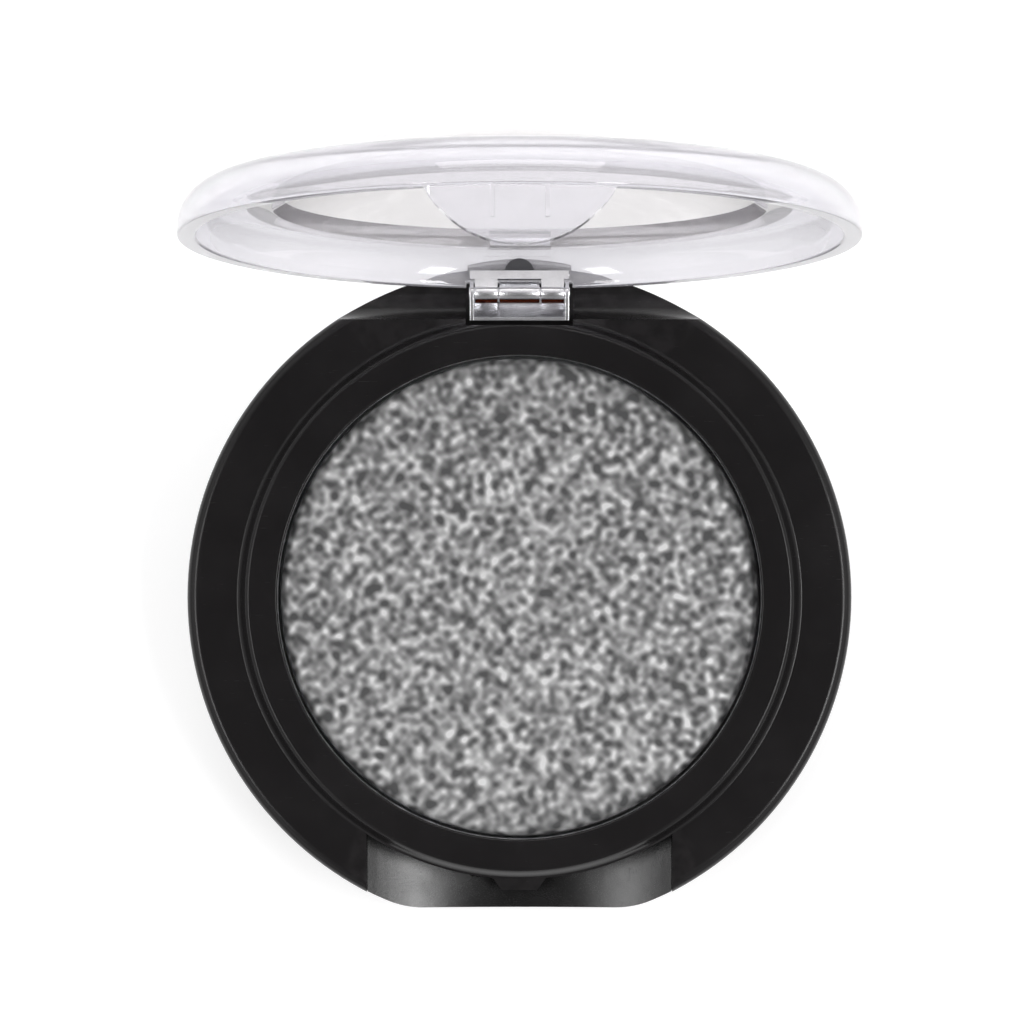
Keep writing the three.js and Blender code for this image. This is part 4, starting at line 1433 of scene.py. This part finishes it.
def make_surround(studio):
    """A white surround with a dark card overhead, dimmer low down and at the front."""
    world = bpy.data.worlds.new("studio_surround")
    world.use_nodes = True
    tree = world.node_tree
    tree.nodes.clear()
    direction = add(tree, "ShaderNodeTexCoord").outputs["Generated"]
    side, rear, up = add(tree, "ShaderNodeSeparateXYZ", {0: direction}).outputs
    carded = ranged(
        tree, up, math.cos(studio.dark_outer), math.cos(studio.dark_inner),
        studio.sky, studio.dark_card,
    )
    raised_up = ranged(tree, up, low=0, high=0.35, to_low=studio.horizon)
    ahead = ranged(tree, rear, low=-0.5, high=-0.25, to_low=studio.front)
    aside = ranged(tree, maths(tree, "ABSOLUTE", side), low=0.25, high=0.55)
    front = maths(tree, "MAXIMUM", ahead, aside)
    carded = maths(tree, "MULTIPLY", carded, maths(tree, "MULTIPLY", raised_up, front))
    through = add(tree, "ShaderNodeLightPath").outputs["Is Transmission Ray"]
    strength = maths(tree, "MAXIMUM", carded, maths(tree, "MULTIPLY", through, studio.sky))
    sky = add(tree, "ShaderNodeBackground", {"Color": (1, 0.995, 1, 1), "Strength": strength})
    add(tree, "ShaderNodeOutputWorld", {"Surface": sky.outputs[0]})
    bpy.context.scene.world = world


def softbox(name, place, size, watts):
    """A soft light that faces the origin."""
    light = bpy.data.lights.new(name, "AREA")
    light.shape = "RECTANGLE"
    light.size, light.size_y = size
    light.energy = watts
    lamp = set_out(name, light)
    lamp.location = place
    lamp.rotation_euler = Vector(place).to_track_quat("Z", "Y").to_euler()


def make_camera(studio):
    """A camera that looks straight down."""
    camera = set_out("camera", bpy.data.cameras.new("camera"))
    camera.data.lens = studio.camera_lens
    camera.data.sensor_width = 36
    camera.data.clip_start = 0.01
    camera.data.clip_end = 20
    camera.location = (studio.aim_side, studio.aim_rear, studio.camera_height)
    bpy.context.scene.camera = camera


def make_studio(studio):
    make_camera(studio)
    make_floor(studio)
    make_surround(studio)
    for name, (place, size, watts) in SOFTBOXES.items():
        softbox(name, place, size, watts)
    bpy.context.scene.view_settings.view_transform = "Standard"


# ---- Operators and panel ----


class COMPACT_OT_tray(Operator):
    """Makes the lower moulding."""

    bl_idname = "compact.tray"
    bl_label = "Tray"

    def execute(self, context):
        make_tray(context.scene.compact_base, context.scene.compact_finish)
        return {"FINISHED"}


class COMPACT_OT_deck(Operator):
    """Makes the upper moulding."""

    bl_idname = "compact.deck"
    bl_label = "Deck"

    def execute(self, context):
        scene = context.scene
        make_deck(scene.compact_base, scene.compact_lid, scene.compact_finish)
        return {"FINISHED"}


class COMPACT_OT_pan(Operator):
    """Makes the pan and the glue under it."""

    bl_idname = "compact.pan"
    bl_label = "Pan and Glue"

    def execute(self, context):
        make_pan(context.scene.compact_powder, context.scene.compact_finish)
        make_glue(context.scene.compact_finish)
        return {"FINISHED"}


class COMPACT_OT_powder(Operator):
    """Makes the pressed powder with its grain."""

    bl_idname = "compact.powder"
    bl_label = "Powder"

    def execute(self, context):
        make_powder(context.scene.compact_powder, context.scene.compact_finish)
        return {"FINISHED"}


class COMPACT_OT_label(Operator):
    """Makes the label on the underside."""

    bl_idname = "compact.label"
    bl_label = "Label"

    def execute(self, context):
        make_label(context.scene.compact_finish)
        return {"FINISHED"}


class COMPACT_OT_hinge(Operator):
    """Makes the two hinge leaves, the pin and the pad."""

    bl_idname = "compact.hinge"
    bl_label = "Hinge"

    def execute(self, context):
        sizes, finish = context.scene.compact_hinge, context.scene.compact_finish
        make_base_leaf(sizes, finish)
        make_lid_leaf(sizes, finish)
        make_pin(sizes, finish)
        make_pad(sizes, finish)
        return {"FINISHED"}


class COMPACT_OT_lid(Operator):
    """Makes the clear rim and the clear dome."""

    bl_idname = "compact.lid"
    bl_label = "Lid"

    def execute(self, context):
        scene = context.scene
        make_lid_rim(scene.compact_lid, scene.compact_base, scene.compact_hinge,
                     scene.compact_finish)
        make_dome(scene.compact_lid, scene.compact_base, scene.compact_finish)
        return {"FINISHED"}


class COMPACT_OT_studio(Operator):
    """Makes the camera, the lights and the floor."""

    bl_idname = "compact.studio"
    bl_label = "Studio"

    def execute(self, context):
        make_studio(context.scene.compact_studio)
        return {"FINISHED"}


OPERATORS = (
    COMPACT_OT_studio, COMPACT_OT_tray, COMPACT_OT_deck, COMPACT_OT_pan, COMPACT_OT_powder,
    COMPACT_OT_label, COMPACT_OT_hinge, COMPACT_OT_lid,
)
SETTINGS = {
    "compact_base": CompactBase,
    "compact_powder": CompactPowder,
    "compact_hinge": CompactHinge,
    "compact_lid": CompactLid,
    "compact_finish": CompactFinish,
    "compact_studio": CompactStudio,
}


class COMPACT_PT_pieces(Panel):
    """Lists the compact's pieces in the sidebar."""

    bl_idname = "COMPACT_PT_pieces"
    bl_label = "Eyeshadow Compact"
    bl_space_type = "VIEW_3D"
    bl_region_type = "UI"
    bl_category = "Compact"

    def draw(self, context):
        for operator in OPERATORS:
            self.layout.operator(operator.bl_idname)


def register():
    for group in SETTINGS.values():
        bpy.utils.register_class(group)
    for name, group in SETTINGS.items():
        setattr(bpy.types.Scene, name, PointerProperty(type=group))
    for made in (*OPERATORS, COMPACT_PT_pieces):
        bpy.utils.register_class(made)


def unregister():
    for made in (COMPACT_PT_pieces, *reversed(OPERATORS)):
        bpy.utils.unregister_class(made)
    for name, group in SETTINGS.items():
        delattr(bpy.types.Scene, name)
        bpy.utils.unregister_class(group)


def main():
    register()
    bpy.ops.compact.studio()
    bpy.ops.compact.tray()
    bpy.ops.compact.deck()
    bpy.ops.compact.pan()
    bpy.ops.compact.powder()
    bpy.ops.compact.label()
    bpy.ops.compact.hinge()
    bpy.ops.compact.lid()


if __name__ == "__main__":
    main()
